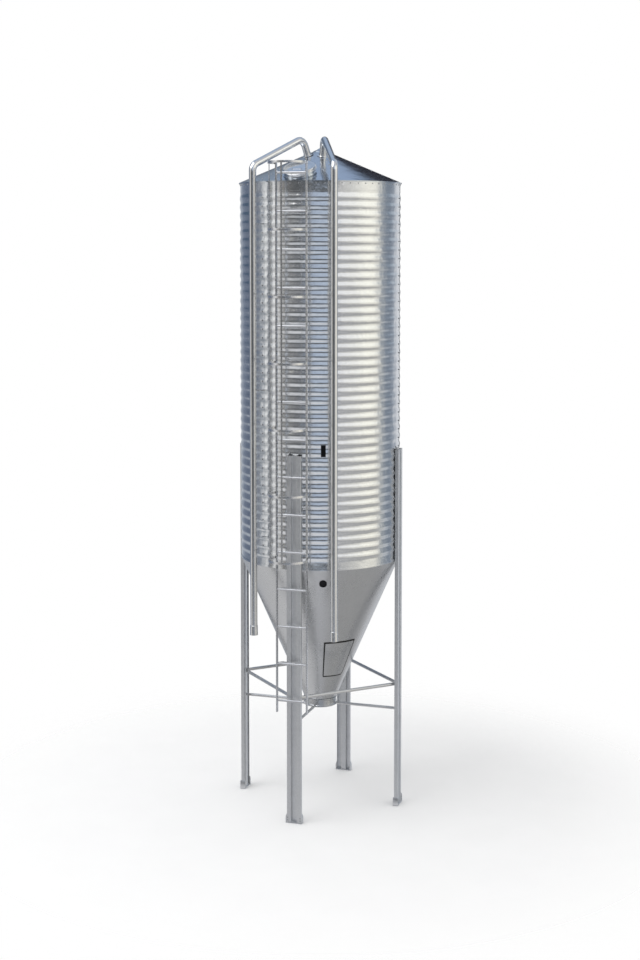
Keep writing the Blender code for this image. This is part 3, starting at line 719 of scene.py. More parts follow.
# %% [markdown]
# A bent rod on the lid is its handle, and a strap hinge holds it on the uphill side. The handle
# is a small circle extruded and spun at its corners, the way a rod is bent in a vice.
# %% Lid handle and hinge
HANDLE_ROD, HANDLE_RUN, HANDLE_HALF = 0.005, 0.10, 0.055
HANDLE_Z = COLLAR_TOP + 0.012
HANDLE_RISE, HANDLE_BEND = 0.006, 0.008
handle = begin(bpy.ops.mesh.primitive_circle_add, "lid_handle",
               at(HANDLE_RUN, HANDLE_Z, -HANDLE_HALF),
               vertices=10, radius=HANDLE_ROD, fill_type="NGON")
lift((0, 0, HANDLE_RISE))
for side in (-1, 1):
    bend_centre = at(HANDLE_RUN, HANDLE_Z + HANDLE_RISE, side * (HANDLE_HALF - HANDLE_BEND))
    bpy.ops.mesh.spin(steps=6, angle=math.pi / 2, center=bend_centre, axis=(0, 1, 0))
    if side == -1:
        lift((2 * HANDLE_HALF - 2 * HANDLE_BEND, 0, 0))
lift((0, 0, -HANDLE_RISE))
complete(handle, BOLT_STEEL, 40)
hinge = block("lid_hinge", at(-LID_RADIUS - 0.004, COLLAR_TOP - 0.034), (0.06, 0.030, 0.064))
pick(hinge, is_top, "FACE")
lift((0, 0, 0.012))
bpy.ops.transform.resize(value=(0.85, 0.6, 1))
soften(hinge, 0.003)
complete(hinge, BOLT_STEEL)
fittings = join("lid_fittings", [handle, hinge])
fittings.data.transform(on_roof(HATCH_RUN))
hand_over(fittings, "galvanised_roof")

# %% [markdown]
# ## The hopper
# Grain slides out by itself if the cone is steep enough. Four rolled panels make it, each a
# straight line spun through a quarter turn and a small lap. At the bottom is a collar with an
# outer flange, which takes the slide gate or the auger, and a lip inside.
# %% Hopper panels and outlet collar
HOPPER_SEAM, HOPPER_LAP = 11.25, 3.0
HOPPER_LOW, HOPPER_TOP = heights("hopper_panel_hatch")
HOPPER_MIDDLE, HOPPER_EDGE, PANEL_OFF = 2.2, 0.998, 0.0004
panel = trace("hopper_panel", [at(*on_cone(HOPPER_LOW, PANEL_OFF)),
                               at(*on_cone(HOPPER_MIDDLE, PANEL_OFF)),
                               at(HOPPER_EDGE, HOPPER_TOP)])
spin_round(90 + HOPPER_LAP, 31)
push_lap(panel, 90 - HOPPER_LAP * 0.2, 0.0022)
thicken(panel, 0.002)
soften(panel, 0.0006, 1)
complete(panel, HOPPER_STEEL)
repeat(panel, "galvanised_hopper", "cone_panel_", "hopper_panel_",
       ("hatch", "back_right", "back_left", "front_left"), HOPPER_SEAM)

OUTLET_LOW, OUTLET_TOP = heights("outlet_collar")
OUTLET_RADIUS = 0.21
OUTLET_NECK, OUTLET_IN, OUTLET_LIP = OUTLET_RADIUS - 0.006, 0.197, 0.175
outlet = spun("outlet_ring", [(OUTLET_LIP, OUTLET_LOW), (OUTLET_RADIUS - 0.004, OUTLET_LOW),
                              (OUTLET_RADIUS, OUTLET_LOW + 0.004),
                              (OUTLET_RADIUS, OUTLET_LOW + 0.020),
                              (OUTLET_NECK, OUTLET_LOW + 0.026), (OUTLET_NECK, OUTLET_TOP - 0.016),
                              (OUTLET_RADIUS, OUTLET_TOP - 0.010), (OUTLET_RADIUS, OUTLET_TOP),
                              (OUTLET_IN, OUTLET_TOP), (OUTLET_IN, OUTLET_LOW + 0.006),
                              (OUTLET_LIP, OUTLET_LOW + 0.006)], 72)
soften(outlet, 0.0012)
fit(outlet, HOPPER_STEEL, "galvanised_hopper", "outlet_collar")
bolt_row("outlet_bolts", SMALL_BOLT, "galvanised_hopper",
         [spot(11.25 + 30 * k, OUTLET_NECK, OUTLET_LOW + 0.052) for k in range(12)])

# %% [markdown]
# Beside the ladder a curved cover closes an opening for cleaning. Its gasket is what the eye
# sees: a black line all round the plate. The gasket is a strip of the cone's own surface, spun
# through the cover's width, with its four corners bevelled round. The plate is a second, smaller
# one on top.
# %% Hopper cover and its gasket
COVER_LOW, COVER_HIGH = heights("hopper_hatch_cover")
COVER_FIRST, COVER_SWEEP = 22.5, 45.0
COVER_LIFT, COVER_STEEL = 0.0026, 0.003
RIM, RIM_SWEEP = 0.016, 1.9


def cone_plate(name, low, high, sweep, near, radii):
    """A plate on the hopper. Its corners are rounded in the order low, high, high, low."""
    far = near + COVER_STEEL
    outline = ((low, near), (low, far), (high, far), (high, near))
    plate = trace(name, [at(*on_cone(*corner)) for corner in outline], closed=True)
    spin_round(sweep, 10)
    for azimuth, height, radius in zip((0, 0, sweep, sweep), (low, high, high, low), radii):
        turn = around(-azimuth)

        def is_corner(edge):
            ends = [turn @ (plate.matrix_world @ v.co) for v in edge.verts]
            return all(max(abs(end.z - height), abs(end.x - AXIS.x)) < 0.0005 for end in ends)

        pick(plate, is_corner, "EDGE")
        bpy.ops.mesh.bevel(offset=radius, segments=7)
    return plate


gasket = cone_plate("cover_gasket", COVER_LOW, COVER_HIGH, COVER_SWEEP, COVER_LIFT,
                    (0.012, 0.010, 0.014, 0.085))
fit(gasket, RUBBER, "black_plastic", place=around(COVER_FIRST))
plate = cone_plate("cover_plate", COVER_LOW + RIM, COVER_HIGH - RIM, COVER_SWEEP - 2 * RIM_SWEEP,
                   COVER_LIFT + COVER_STEEL, (0.008, 0.007, 0.010, 0.075))
soften(plate, 0.001, 2, 50)
fit(plate, HOPPER_STEEL, "galvanised_hopper", "hopper_hatch_cover",
    place=around(COVER_FIRST + RIM_SWEEP))

# %% [markdown]
# ## Legs and feet
# The legs are channels folded from plate, with a deep groove down the face. Each is a chain of
# edges, its bends rounded while it is still a line, extruded to the leg's height and given the
# thickness of the plate. They stand in flared feet on the ground.
# %% Legs
LEG_BACK = RADIUS + GAP
LEG_FACE = LEG_BACK + 0.0457
LEG_HALF = 0.09
LEG_STEEL = 0.004
PLATE = 0.008
GROOVE_TOP, GROOVE_FLOOR = 0.038, 0.030
half_leg = [(LEG_HALF, LEG_BACK), (LEG_HALF, LEG_FACE), (GROOVE_TOP, LEG_FACE),
            (GROOVE_FLOOR, LEG_BACK + LEG_STEEL)]
section = half_leg + [(-across, run) for across, run in half_leg[::-1]]
leg = trace("leg", [at(run, PLATE + GAP, across) for across, run in section])
round_bends(0.006)
lift((0, 0, LEG_TOP - PLATE - GAP))
face_out()
thicken(leg, LEG_STEEL)
soften(leg, 0.0008, 1, 60)
complete(leg, FRAME_STEEL)
repeat(leg, "galvanised_frame", "channel_leg_", "leg_", SIDES)

# %% [markdown]
# A foot is a base plate and two ears of folded sheet that clasp the leg's corners. An ear is wide
# at the ground and rounds off at its top, so its front outline is traced, filled and extruded.
# It has two parts, a lobe outside the leg and a thinner flap over the leg's face with two bolts.
# %% Feet
FOOT_HEIGHT = heights("foot_front")[1]
FOOT_RUN = LEG_FACE + 0.010 - GAP
FOOT_BACK = LEG_BACK - 0.012
FLAP_RUN = LEG_FACE + 0.003
EAR_IN = LEG_HALF + GAP
EAR_OUT = EAR_IN + 0.013
FLAP_WIDE = 0.022
base = block("foot", at((FOOT_BACK + FOOT_RUN) / 2, PLATE / 2),
             (2 * EAR_OUT, FOOT_RUN - FOOT_BACK, PLATE))
soften(base, 0.002)
foot_parts = [complete(base, FRAME_STEEL)]
LOBE = [(EAR_IN, PLATE), (EAR_OUT - 0.003, PLATE), (EAR_OUT, 0.024), (EAR_OUT, 0.062),
        (EAR_OUT - 0.003, 0.084), (EAR_OUT - 0.008, 0.100), (EAR_IN, FOOT_HEIGHT)]
FLAP = [(EAR_IN, PLATE), (EAR_IN, FOOT_HEIGHT), (EAR_IN - 0.008, FOOT_HEIGHT - 0.006),
        (EAR_IN - 0.016, FOOT_HEIGHT - 0.022), (EAR_IN - FLAP_WIDE, 0.070),
        (EAR_IN - FLAP_WIDE, PLATE)]
EAR_PARTS = (("lobe", LOBE, FOOT_BACK, FOOT_RUN, 0.005),
             ("flap", FLAP, LEG_FACE + GAP, FLAP_RUN, 0.001))
FLAP_BOLTS = (0.034, 0.066)
for sign in (-1, 1):
    for name, outline, near, far, edge in EAR_PARTS:
        ear = trace(f"{name}_{sign}", [at(near, height, sign * across) for across, height in outline],
                    closed=True)
        lift((0, near - far, 0))
        soften(ear, edge, 3)
        foot_parts.append(complete(ear, FRAME_STEEL))
    for height in FLAP_BOLTS:
        place = spot(0, FLAP_RUN, height, 0, sign * (EAR_IN - FLAP_WIDE / 2))
        foot_parts.append(moved_copy(SMALL_BOLT, f"foot_bolt_{sign}_{height}", place))
repeat(join("foot", foot_parts), "galvanised_frame", "flared_foot_", "foot_", SIDES)

# %% [markdown]
# ## Ties and struts
# Ties run from leg to leg and struts from each leg to the outlet collar, so that the legs can't
# spread. They are tubes flattened at the ends for a bolt. A cylinder's end rings are squeezed
# with resize, which makes the same shape as the press does.
# %% One tie and one strut
TIE_Z, TIE_RADIUS, TIE_ACROSS = 1.54, 0.020, 0.03
STRUT_Z, STRUT_RADIUS = 1.222, 0.017
PRESSED = (0.04, 0.08)


def tube_between(name, start, end, radius):
    """A round tube from start to end, both at one height, pressed flat at its two ends."""
    along = end - start
    length = along.length
    tube = begin(bpy.ops.mesh.primitive_cylinder_add, name, (0, 0, 0), vertices=20,
                 radius=radius, depth=length, end_fill_type="NGON", rotation=(0, math.pi / 2, 0))
    work_on(tube, "OBJECT")
    bpy.ops.object.transform_apply(location=True, rotation=True, scale=True)
    work_on(tube)
    for side in (-1, 1):
        for cut in PRESSED:
            bpy.ops.mesh.select_all(action="SELECT")
            bpy.ops.mesh.bisect(plane_co=(side * (length / 2 - cut), 0, 0), plane_no=(1, 0, 0))
        pick(tube, lambda v: side * v.co.x > length / 2 - PRESSED[0] - 0.001)
        bpy.ops.transform.resize(value=(1, 0.45, 1))
    bpy.ops.object.mode_set(mode="OBJECT")
    heading = math.atan2(along.y, along.x)
    tube.data.transform(Matrix.Translation((start + end) / 2) @ Matrix.Rotation(heading, 4, "Z"))
    soften(tube, 0.002, 2, 50)
    return complete(tube, TIE_STEEL)


TIE_RUN = LEG_BACK - 0.010
tie = tube_between("tie", at(TIE_RUN, TIE_Z, TIE_ACROSS), at(TIE_ACROSS, TIE_Z, TIE_RUN),
                   TIE_RADIUS)
repeat(tie, "galvanised_frame", "leg_tie_", "tie_",
       ("front_right", "back_right", "back_left", "front_left"))
strut = tube_between("strut", at(RADIUS, STRUT_Z), at(OUTLET_RADIUS + GAP, STRUT_Z),
                     STRUT_RADIUS)
repeat(strut, "galvanised_frame", "outlet_strut_", "strut_", SIDES)

# %% [markdown]
# ## The ladder
# Two box-section stringers carry round rungs, and folded straps hold them off the legs and the
# wall. A stringer is a rectangle extruded to its height with bevelled edges. The rungs are
# copies of one cylinder, and end inside both stringers.
# %% Stringers, rungs and brackets
LADDER_RUN, STRINGER_SPREAD = 1.11, 0.1895
STRINGER_WIDE, STRINGER_DEEP = 0.018, 0.036
LADDER_LOW, LADDER_TOP = heights("ladder")
RUNG_FIRST, RUNG_PITCH, RUNGS, RUNG_RADIUS = 1.53, 0.453, 15, 0.013


def post(name, foot, wide, deep, tall, edge):
    """An upright bar of box section on the middle of its foot."""
    piece = begin(bpy.ops.mesh.primitive_plane_add, name, foot, size=1)
    bpy.ops.transform.resize(value=(wide, deep, 1))
    lift((0, 0, tall))
    soften(piece, edge)
    return complete(piece, LADDER_STEEL)


ladder_parts = [post(f"stringer_{sign}", at(LADDER_RUN, LADDER_LOW, sign * STRINGER_SPREAD),
                     STRINGER_WIDE, STRINGER_DEEP, LADDER_TOP - LADDER_LOW, 0.0025)
                for sign in (-1, 1)]
rung = begin(bpy.ops.mesh.primitive_cylinder_add, "rung", at(LADDER_RUN, 0), vertices=16,
             radius=RUNG_RADIUS, depth=2 * STRINGER_SPREAD, rotation=(0, math.pi / 2, 0))
pick(rung, lambda f: abs(f.normal.z) > 0.9, "FACE")
bpy.ops.mesh.inset(thickness=0.003, depth=-0.002)
complete(rung, SHADED_RUNG_STEEL)
rung_heights = [RUNG_FIRST + k * RUNG_PITCH for k in range(RUNGS)]
ladder_parts += [moved_copy(rung, f"rung_{k}", Matrix.Translation((0, 0, height)))
                 for k, height in enumerate(rung_heights)]
discard(rung)

BRACKET_RUN = LADDER_RUN - STRINGER_DEEP / 2 + 0.003
BRACKET_HALF = 0.010
LEG_RUNGS, WALL_BRACKETS = (1, 3, 5), (5.141, 6.512, 7.462)
brackets = [(rung_heights[k], LEG_FACE + 0.003, 0.14) for k in LEG_RUNGS]
brackets += [(height, RADIUS + 0.003, 0.05) for height in WALL_BRACKETS]
for k, (height, seat, flat) in enumerate(brackets):
    plan = [(BRACKET_RUN, -STRINGER_SPREAD), (seat, -flat), (seat, flat),
            (BRACKET_RUN, STRINGER_SPREAD)]
    bracket = trace(f"ladder_bracket_{k}",
                    [at(run, height - BRACKET_HALF, across) for run, across in plan])
    round_bends(0.008)
    lift((0, 0, 2 * BRACKET_HALF))
    thicken(bracket, 0.004, 0)
    ladder_parts.append(complete(bracket, FRAME_STEEL))
hand_over(join("caged_ladder", ladder_parts), "galvanised_pipe", "ladder")
bolt_row("ladder_bolts", SMALL_BOLT, "galvanised_pipe",
         [spot(0, seat + 0.002, height, 0, across) for height, seat, flat in brackets
          for across in (-0.03, 0.03)])

# %% [markdown]
# ## The safety cage
# Hoops of flat bar keep a climber from falling back, and three upright straps hold the hoops in
# line. A hoop's plan is an arc with two short tabs to the stringers. It is traced once, extruded
# to the bar's height, given its thickness and copied up the ladder.
# %% Hoops and straps
CAGE_RUN, CAGE_RADIUS = 1.24, 0.235
HOOP_FIRST, HOOP_PITCH, HOOPS = 3.28, 0.784, 7
HOOP_HEIGHT, HOOP_THICK = 0.028, 0.005
TAB = STRINGER_SPREAD + STRINGER_WIDE / 2 + GAP + HOOP_THICK / 2
TAB_RUN = LADDER_RUN - 0.015
ARC_START = math.pi - math.asin(TAB / CAGE_RADIUS)
ARC_STEPS = 40
arc = [-ARC_START + 2 * ARC_START * k / ARC_STEPS for k in range(ARC_STEPS + 1)]
plan = [(-TAB, TAB_RUN)]
plan += [(CAGE_RADIUS * math.sin(a), CAGE_RUN + CAGE_RADIUS * math.cos(a)) for a in arc]
plan += [(TAB, TAB_RUN)]
hoop = trace("hoop", [at(run, -HOOP_HEIGHT / 2, across) for across, run in plan])
lift((0, 0, HOOP_HEIGHT))
face_out()
thicken(hoop, HOOP_THICK, 0)
soften(hoop, 0.0015, 2, 60)
complete(hoop, LADDER_STEEL)
hoop_heights = [HOOP_FIRST + k * HOOP_PITCH for k in range(HOOPS)]
cage_parts = [moved_copy(hoop, f"hoop_{k}", Matrix.Translation((0, 0, z)))
              for k, z in enumerate(hoop_heights)]
discard(hoop)

STRAP_WIDE, STRAP_THICK = 0.022, 0.005
STRAP_SEAT = CAGE_RADIUS - HOOP_THICK / 2 - STRAP_THICK / 2 + 0.0005
STRAP_LOW = hoop_heights[0] - HOOP_HEIGHT / 2
STRAP_TOP = hoop_heights[-1] + HOOP_HEIGHT / 2
STRAP_AZIMUTHS = (-90, 0, 90)
to_cage = Matrix.Translation((0, -CAGE_RUN, 0))
for azimuth in STRAP_AZIMUTHS:
    strap = post(f"strap_{azimuth}", at(STRAP_SEAT, STRAP_LOW), STRAP_WIDE, STRAP_THICK,
                 STRAP_TOP - STRAP_LOW, 0.0015)
    strap.data.transform(to_cage @ around(azimuth))
    cage_parts.append(strap)
hand_over(join("hooped_cage", cage_parts), "galvanised_pipe", "safety_cage")


def in_cage(azimuth, height):
    """A bolt's place on the inner side of a strap, at an azimuth about the cage's own middle."""
    return to_cage @ around(azimuth + 180) @ spot(0, STRAP_THICK / 2 - STRAP_SEAT, height)


bolt_row("cage_bolts", SMALL_BOLT, "galvanised_pipe",
         [in_cage(azimuth, z) for azimuth in STRAP_AZIMUTHS for z in hoop_heights])

# %% [markdown]
# ## The two pipes
# Grain is blown up the filling pipe, and the air leaves by the other. Each goes up the wall, over
# the eaves, along the roof and down through it. A circle at the pipe's foot is extruded up the
# straight, spun round each bend about the bend's own centre, and so on to the end, just as a
# pipe is bent. Solidify then gives it a wall, which shows at the open end.
# %% Bent pipes
PIPE_RUN, PIPE_END, PIPE_BEND = 1.163, 2.35, 0.10
PIPE_WALL = 0.003


def pipe_through(name, corners, radius, bend):
    """A pipe in the plane of azimuth 0, through corners of (run, height), first leg upright."""
    spots = [at(*corner) for corner in corners]
    here = spots[0]
    pipe = begin(bpy.ops.mesh.primitive_circle_add, name, here, vertices=32, radius=radius)
    for before, corner, after in zip(spots, spots[1:], spots[2:]):
        ahead, beyond = (corner - before).normalized(), (after - corner).normalized()
        turn = ahead.angle(beyond)
        cut = bend * math.tan(turn / 2)
        lift(corner - ahead * cut - here)
        hinge_axis = ahead.cross(beyond).normalized()
        centre = corner - ahead * cut + hinge_axis.cross(ahead) * bend
        bpy.ops.mesh.spin(steps=12, angle=-turn, center=centre, axis=hinge_axis)
        here = corner + beyond * cut
    lift(spots[-1] - here)
    face_out()
    thicken(pipe, PIPE_WALL)
    return complete(pipe, PIPE_STEEL, 40)


UNDER_ROOF = 0.03
PIPE_CORNERS = [(PIPE_RUN, PIPE_END), on_slope(PIPE_RUN, PIPE_CLEARANCE),
                on_slope(PIPE_CORNER_RUN, PIPE_CLEARANCE),
                (PIPE_FOOT_RUN - UNDER_ROOF * math.sin(ROOF_ANGLE),
                 roof_height(PIPE_FOOT_RUN) - UNDER_ROOF * math.cos(ROOF_ANGLE))]
pipe = pipe_through("pipe", PIPE_CORNERS, PIPE_RADIUS, PIPE_BEND)
print("bends in a pipe:", len(PIPE_CORNERS) - 2)
flashing = spun("flashing", [(PIPE_RADIUS, 0.001), (PIPE_RADIUS + 0.030, 0.001),
                             (PIPE_RADIUS + 0.030, 0.004), (PIPE_RADIUS + 0.005, 0.007),
                             (PIPE_RADIUS + 0.003, 0.030), (PIPE_RADIUS, 0.030)], 32)
complete(flashing, PIPE_STEEL)
flashing.data.transform(on_roof(PIPE_FOOT_RUN))

# %% [markdown]
# Three arms hold each pipe to the wall, each with a seat plate on a crest. They are short blocks
# with softened edges, joined to the pipe because the CAD has them as one solid.
# %% Pipe clips
clip_parts = [pipe, flashing]
ROUGH_HEIGHTS = (3.45, 5.3, 7.3)
PIPE_CLIPS = [min(ALL_CRESTS, key=lambda z: abs(z - rough)) for rough in ROUGH_HEIGHTS]
ARM_LENGTH = PIPE_RUN - PIPE_RADIUS - RADIUS + 0.001
for k, height in enumerate(PIPE_CLIPS):
    for name, run, size in (("arm", RADIUS + ARM_LENGTH / 2, (0.012, ARM_LENGTH, 0.016)),
                            ("seat", RADIUS + 0.002, (0.050, 0.004, 0.024))):
        clip = block(f"clip_{name}_{k}", at(run, height), size)
        soften(clip, 0.0015)
        clip_parts.append(complete(clip, PIPE_STEEL))


def on_both_sides(piece, kind, node_end=""):
    """Hands over one copy for the filling pipe and one for the air pipe."""
    for name, azimuth, node in (("filling_", -PIPE_AZIMUTH, "fill_pipe"),
                                ("vent_", PIPE_AZIMUTH, "air_pipe")):
        copy = moved_copy(piece, name + kind, around(azimuth))
        hand_over(copy, "galvanised_pipe", node + node_end)
    discard(piece)


on_both_sides(join("pipe", clip_parts), "pipe")

# %% [markdown]
# At the lower end of each pipe is a coupling for the lorry's hose: a sleeve that widens a little
# downwards, with a rounded edge for the hose's clamp.
# %% Hose couplings
COUPLING_LOW, COUPLING_HIGH = heights("fill_pipe_coupling")
SLEEVE_IN, SLEEVE_OUT = PIPE_RADIUS + GAP, 0.0492
sleeve = spun("sleeve", [(SLEEVE_IN, COUPLING_LOW), (SLEEVE_OUT - 0.001, COUPLING_LOW),
                         (SLEEVE_OUT, COUPLING_LOW + 0.003),
                         (SLEEVE_OUT - 0.001, COUPLING_LOW + 0.030),
                         (SLEEVE_OUT - 0.002, COUPLING_HIGH - 0.004),
                         (SLEEVE_IN, COUPLING_HIGH)], 40)
soften(sleeve, 0.0008, 2, 25)
complete(sleeve, PIPE_STEEL)
sleeve.data.transform(Matrix.Translation((0, -PIPE_RUN, 0)))
on_both_sides(sleeve, "coupling", "_coupling")

# %% [markdown]
# ## Windows
# A slot window on the wall and a round glass on the cone show how full the silo is. Both have a
# black moulded frame round a dark pane. The wall's frame is a block whose front face is inset
# and pushed in, and the pane lies in that recess. The cone's frame and pane are spun sections.
# %% Wall window
WINDOW_AZIMUTH = 20.0
WINDOW_LOW, WINDOW_HIGH = heights("wall_window")
WINDOW_Z = (WINDOW_LOW + WINDOW_HIGH) / 2
WINDOW_TALL = WINDOW_HIGH - WINDOW_LOW
WINDOW_WIDE, WINDOW_THICK, FRAME_WIDE = 0.058, 0.012, 0.009
surround = block("window_surround", at(RADIUS + WINDOW_THICK / 2, WINDOW_Z),
                 (WINDOW_WIDE, WINDOW_THICK, WINDOW_TALL))
pick(surround, lambda f: f.normal.y < -0.9, "FACE")
bpy.ops.mesh.inset(thickness=FRAME_WIDE, depth=-0.004)
soften(surround, 0.002, 3)
fit(surround, PLASTIC, "black_plastic", "wall_window", place=around(WINDOW_AZIMUTH))
pane = block("window_pane", at(RADIUS + WINDOW_THICK - 0.0035, WINDOW_Z),
             (WINDOW_WIDE - 2 * FRAME_WIDE, 0.002, WINDOW_TALL - 2 * FRAME_WIDE))
soften(pane, 0.0008)
fit(pane, PANE, "dark_glass", place=around(WINDOW_AZIMUTH))

# %% Round sight glass
GLASS_Z, GLASS_RADIUS, GLASS_THICK = 2.936, 0.0465, 0.014
BEZEL_IN, LENS_RADIUS = 0.034, 0.0345


def on_hopper(height):
    """Lays something modelled upright on the axis square to the hopper's face."""
    tip = Matrix.Rotation(math.pi - HOPPER_ANGLE, 4, "X")
    return Matrix.Translation(at(*on_cone(height))) @ tip @ Matrix.Translation(-AXIS)


to_glass = around(WINDOW_AZIMUTH) @ on_hopper(GLASS_Z)
bezel = spun("sight_bezel", [(BEZEL_IN, GAP), (GLASS_RADIUS, GAP),
                             (GLASS_RADIUS, GLASS_THICK - 0.003),
                             (GLASS_RADIUS - 0.003, GLASS_THICK), (0.036, GLASS_THICK),
                             (BEZEL_IN, GLASS_THICK - 0.004)], 48)
fit(bezel, PLASTIC, "dark_glass", "hopper_sight_glass", place=to_glass)
lens = spun("sight_lens", [(0, 0.002), (LENS_RADIUS, 0.002), (LENS_RADIUS, 0.008),
                           (0.02, 0.0100), (0, 0.0108)], 48, closed=False)
fit(lens, PANE, "dark_glass", place=to_glass, angle=40)
for master in (SEAM_BOLT, SMALL_BOLT):
    discard(master)

# %% [markdown]
# ## Stage
# The silo stands on a plain pale floor, a flat disc that fades out before its edge, so that no
# horizon line crosses the picture. Mirrors don't see the disc, but the panorama's ground below.
# %% Floor
FLOOR_SOLID, FLOOR_END = 2.6, 5.6
deselect()
bpy.ops.mesh.primitive_circle_add(vertices=96, radius=FLOOR_END, fill_type="NGON", location=AXIS)
floor = named("floor")
floor.location.z = -0.001
floor.visible_glossy = False
paint = Finish(bpy.data.materials.new("floor_paint"))
paint.feed("Base Color", paint.blend(paint.noise(1.5, 3), (0.86, 0.86, 0.86), (0.90, 0.90, 0.90)))
paint.feed("Roughness", 0.8)
clear = paint.node("ShaderNodeBsdfTransparent")
distance = paint.node("ShaderNodeVectorMath", {"operation": "LENGTH"}, {0: paint.place()}, "Value")
fade = paint.rise(distance, FLOOR_SOLID, FLOOR_END)
mixed = paint.node("ShaderNodeMixShader", {},
                   {0: fade, 1: Value(paint, paint.shader.outputs[0]), 2: clear})
paint.tree.links.new(mixed.socket, paint.tree.nodes["Material Output"].inputs["Surface"])
floor.data.materials.append(paint.owner)
print("floor radius", FLOOR_END)

# %% [markdown]
# Polished metal is seen mostly by what it mirrors. The world is therefore a simple panorama in
# five layers, from high sky down to the ground underfoot, each a row of colours by azimuth, with
# plain shade straight below. It has a warm bright panel on the right, a narrow one on the left, a
# dark strip in front and another behind. Only mirrored light sees it. The camera sees plain
# white, and matt things are lit by even white.
# %% Studio panorama
HIGH_SKY = [(-180, (0.40, 0.51, 0.70)), (-110, (0.36, 0.45, 0.60)), (-60, (0.46, 0.52, 0.62)),
            (0, (0.48, 0.54, 0.64)), (60, (0.60, 0.62, 0.66)), (100, (0.62, 0.63, 0.66)),
            (150, (0.42, 0.51, 0.66))]
LOW_SKY = [(-180, (0.20, 0.23, 0.28)), (-175, (0.02, 0.02, 0.03)), (-159, (0.02, 0.02, 0.03)),
           (-152, (0.30, 0.36, 0.44)), (-126, (0.08, 0.12, 0.19)), (-103, (0.08, 0.12, 0.18)),
           (-77, (0.24, 0.27, 0.33)), (-69, (1.00, 1.00, 1.00)), (-50, (1.02, 1.02, 1.02)),
           (-38, (0.34, 0.34, 0.34)), (-10, (0.17, 0.18, 0.20)), (11, (0.48, 0.56, 0.70)),
           (34, (0.54, 0.62, 0.75)), (45, (1.00, 1.00, 1.02)), (72, (1.14, 1.13, 1.08)),
           (92, (1.28, 1.26, 1.13)), (101, (1.26, 1.24, 1.13)), (109, (1.02, 1.01, 0.95)),
           (117, (0.38, 0.41, 0.45)), (131, (0.24, 0.29, 0.36)), (138, (0.28, 0.34, 0.42)),
           (148, (0.50, 0.56, 0.64)), (165, (0.68, 0.72, 0.78))]
HORIZON = [(-180, (0.20, 0.22, 0.26)), (-175, (0.04, 0.04, 0.05)), (-159, (0.04, 0.04, 0.05)),
           (-152, (0.56, 0.60, 0.66)), (-126, (0.20, 0.24, 0.32)), (-103, (0.12, 0.15, 0.22)),
           (-78, (0.26, 0.28, 0.32)), (-68, (0.78, 0.79, 0.80)), (-51, (0.84, 0.84, 0.84)),
           (-38, (0.24, 0.23, 0.22)), (-20, (0.10, 0.105, 0.11)), (34, (0.10, 0.11, 0.12)),
           (45, (0.59, 0.58, 0.58)), (68, (0.76, 0.75, 0.71)), (88, (1.02, 0.99, 0.90)),
           (101, (1.02, 0.99, 0.89)), (109, (0.86, 0.84, 0.78)), (117, (0.38, 0.41, 0.44)),
           (126, (0.24, 0.28, 0.34)), (136, (0.20, 0.24, 0.30)), (149, (0.34, 0.38, 0.45)),
           (160, (0.76, 0.78, 0.82))]
GROUND = [(-180, (0.78, 0.80, 0.83)), (-150, (0.48, 0.51, 0.57)), (-103, (0.42, 0.46, 0.52)),
          (-78, (0.26, 0.29, 0.33)), (-68, (0.56, 0.57, 0.58)), (-43, (0.60, 0.60, 0.61)),
          (0, (0.59, 0.62, 0.68)), (14, (0.59, 0.67, 0.79)), (32, (0.52, 0.57, 0.67)),
          (43, (0.42, 0.43, 0.46)), (70, (0.44, 0.44, 0.44)), (110, (0.50, 0.49, 0.46)),
          (122, (0.64, 0.65, 0.65)), (132, (0.56, 0.60, 0.66)), (140, (0.36, 0.40, 0.46)),
          (149, (0.26, 0.29, 0.34)), (160, (0.74, 0.76, 0.80))]
UNDERFOOT = [(-180, (0.78, 0.80, 0.83)), (-150, (0.56, 0.57, 0.60)), (-125, (0.68, 0.68, 0.70)),
             (-80, (0.80, 0.80, 0.81)), (-20, (0.80, 0.80, 0.82)), (18, (0.74, 0.75, 0.79)),
             (34, (0.64, 0.65, 0.68)), (48, (0.52, 0.52, 0.53)), (70, (0.47, 0.47, 0.47)),
             (110, (0.48, 0.48, 0.48)), (143, (0.44, 0.44, 0.45)), (152, (0.66, 0.66, 0.68)),
             (165, (0.78, 0.80, 0.83))]


def by_azimuth(world, share, stops):
    settings = {"stops": [((azimuth + 180) / 360, colour) for azimuth, colour in stops]}
    return world.node("ShaderNodeValToRGB", settings, {0: share})


world = Finish(bpy.data.worlds.new("studio"))
bpy.context.scene.world = world.owner
towards = world.node("ShaderNodeTexCoord", output="Generated")
look_x = world.node("ShaderNodeSeparateXYZ", {}, {0: towards}, "X")
look_y, look_up = (Value(world, look_x.socket.node.outputs[axis]) for axis in "YZ")
heading = world.node("ShaderNodeMath", {"operation": "ARCTAN2"}, {0: look_x, 1: look_y * -1})
share = heading * (1 / math.tau) + 0.5
panorama = (0.36, 0.36, 0.37)
LAYERS = ((-0.96, -0.88, UNDERFOOT), (-0.48, -0.38, GROUND), (-0.34, -0.17, HORIZON),
          (0.04, 0.14, LOW_SKY), (0.52, 0.62, HIGH_SKY))
for low, high, stops in LAYERS:
    panorama = world.blend(world.rise(look_up, low, high), panorama, by_azimuth(world, share, stops))
background = world.tree.nodes["Background"]
world.link(background.inputs["Color"], panorama)
even, white = (world.node("ShaderNodeBackground", {}, {"Color": (1, 1, 1, 1), "Strength": strength})
               for strength in (0.95, 1.0))
mirrored, seen = (world.node("ShaderNodeLightPath", output=f"Is {kind} Ray")
                  for kind in ("Glossy", "Camera"))
lit = world.node("ShaderNodeMixShader", {},
                 {0: mirrored, 1: even, 2: Value(world, background.outputs[0])})
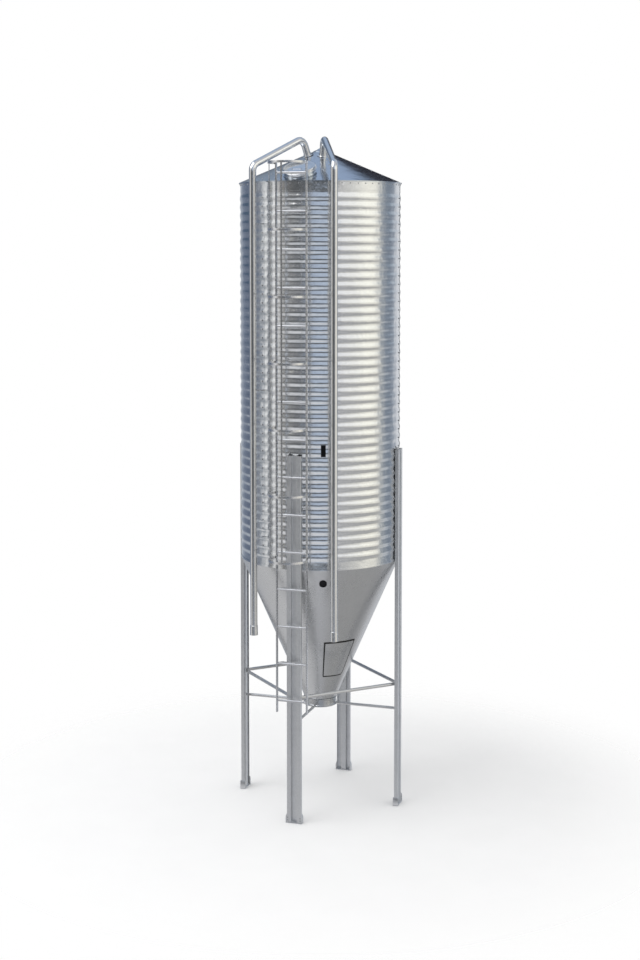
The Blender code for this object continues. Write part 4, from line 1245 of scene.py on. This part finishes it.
both = world.node("ShaderNodeMixShader", {}, {0: seen, 1: lit, 2: white})
world.tree.links.new(both.socket, world.tree.nodes["World Output"].inputs["Surface"])
print("panorama layers:", len(LAYERS))

# %% [markdown]
# One large soft lamp hangs high to the left of the ladder. Its light comes from a wide square, so
# the silo stands on a soft shadow instead of a hard one.
# %% Overhead softbox
LIGHT_AZIMUTH, LIGHT_HEIGHT, LIGHT_RUN = -40.0, 15.0, 7.0
bpy.ops.object.light_add(type="AREA", location=around(LIGHT_AZIMUTH) @ at(LIGHT_RUN, LIGHT_HEIGHT))
softbox = bpy.context.active_object
softbox.name = "overhead_softbox"
softbox.data.size = 9.0
softbox.data.energy = 650
aim = AXIS + Vector((0, 0, 2)) - softbox.location
softbox.rotation_euler = aim.to_track_quat("-Z", "Y").to_euler()
print(f"softbox {LIGHT_HEIGHT} m up, {softbox.data.energy:.0f} W")

# %% [markdown]
# ## Camera
# The photograph was taken from the front right, from about seven metres up and twenty away, with
# the camera tipped down a little. The lens follows from the picture's height, and a small shift
# puts the silo where the photograph has it.
# %% Camera
CAMERA_AZIMUTH, CAMERA_RUN, CAMERA_HEIGHT = 17.943, 19.628, 7.0435
CAMERA_PITCH = 4.217
PICTURE_TALL = 960
FOCAL_PIXELS = 1569.4
CENTRE_ROW = 358.64
SENSOR = 36.0
camera = bpy.data.objects.new("camera", bpy.data.cameras.new("camera"))
bpy.context.collection.objects.link(camera)
camera.location = around(CAMERA_AZIMUTH) @ at(CAMERA_RUN, CAMERA_HEIGHT, -0.0038)
camera.rotation_euler = (math.radians(90 - CAMERA_PITCH), 0, math.radians(CAMERA_AZIMUTH))
camera.data.sensor_width = SENSOR
camera.data.lens = FOCAL_PIXELS * SENSOR / PICTURE_TALL
camera.data.shift_y = (CENTRE_ROW - PICTURE_TALL / 2) / PICTURE_TALL
camera.data.clip_end = 200
bpy.context.scene.camera = camera
bpy.context.scene.view_settings.view_transform = "Standard"
print(f"lens {camera.data.lens:.1f} mm, shift {camera.data.shift_y:.3f}")
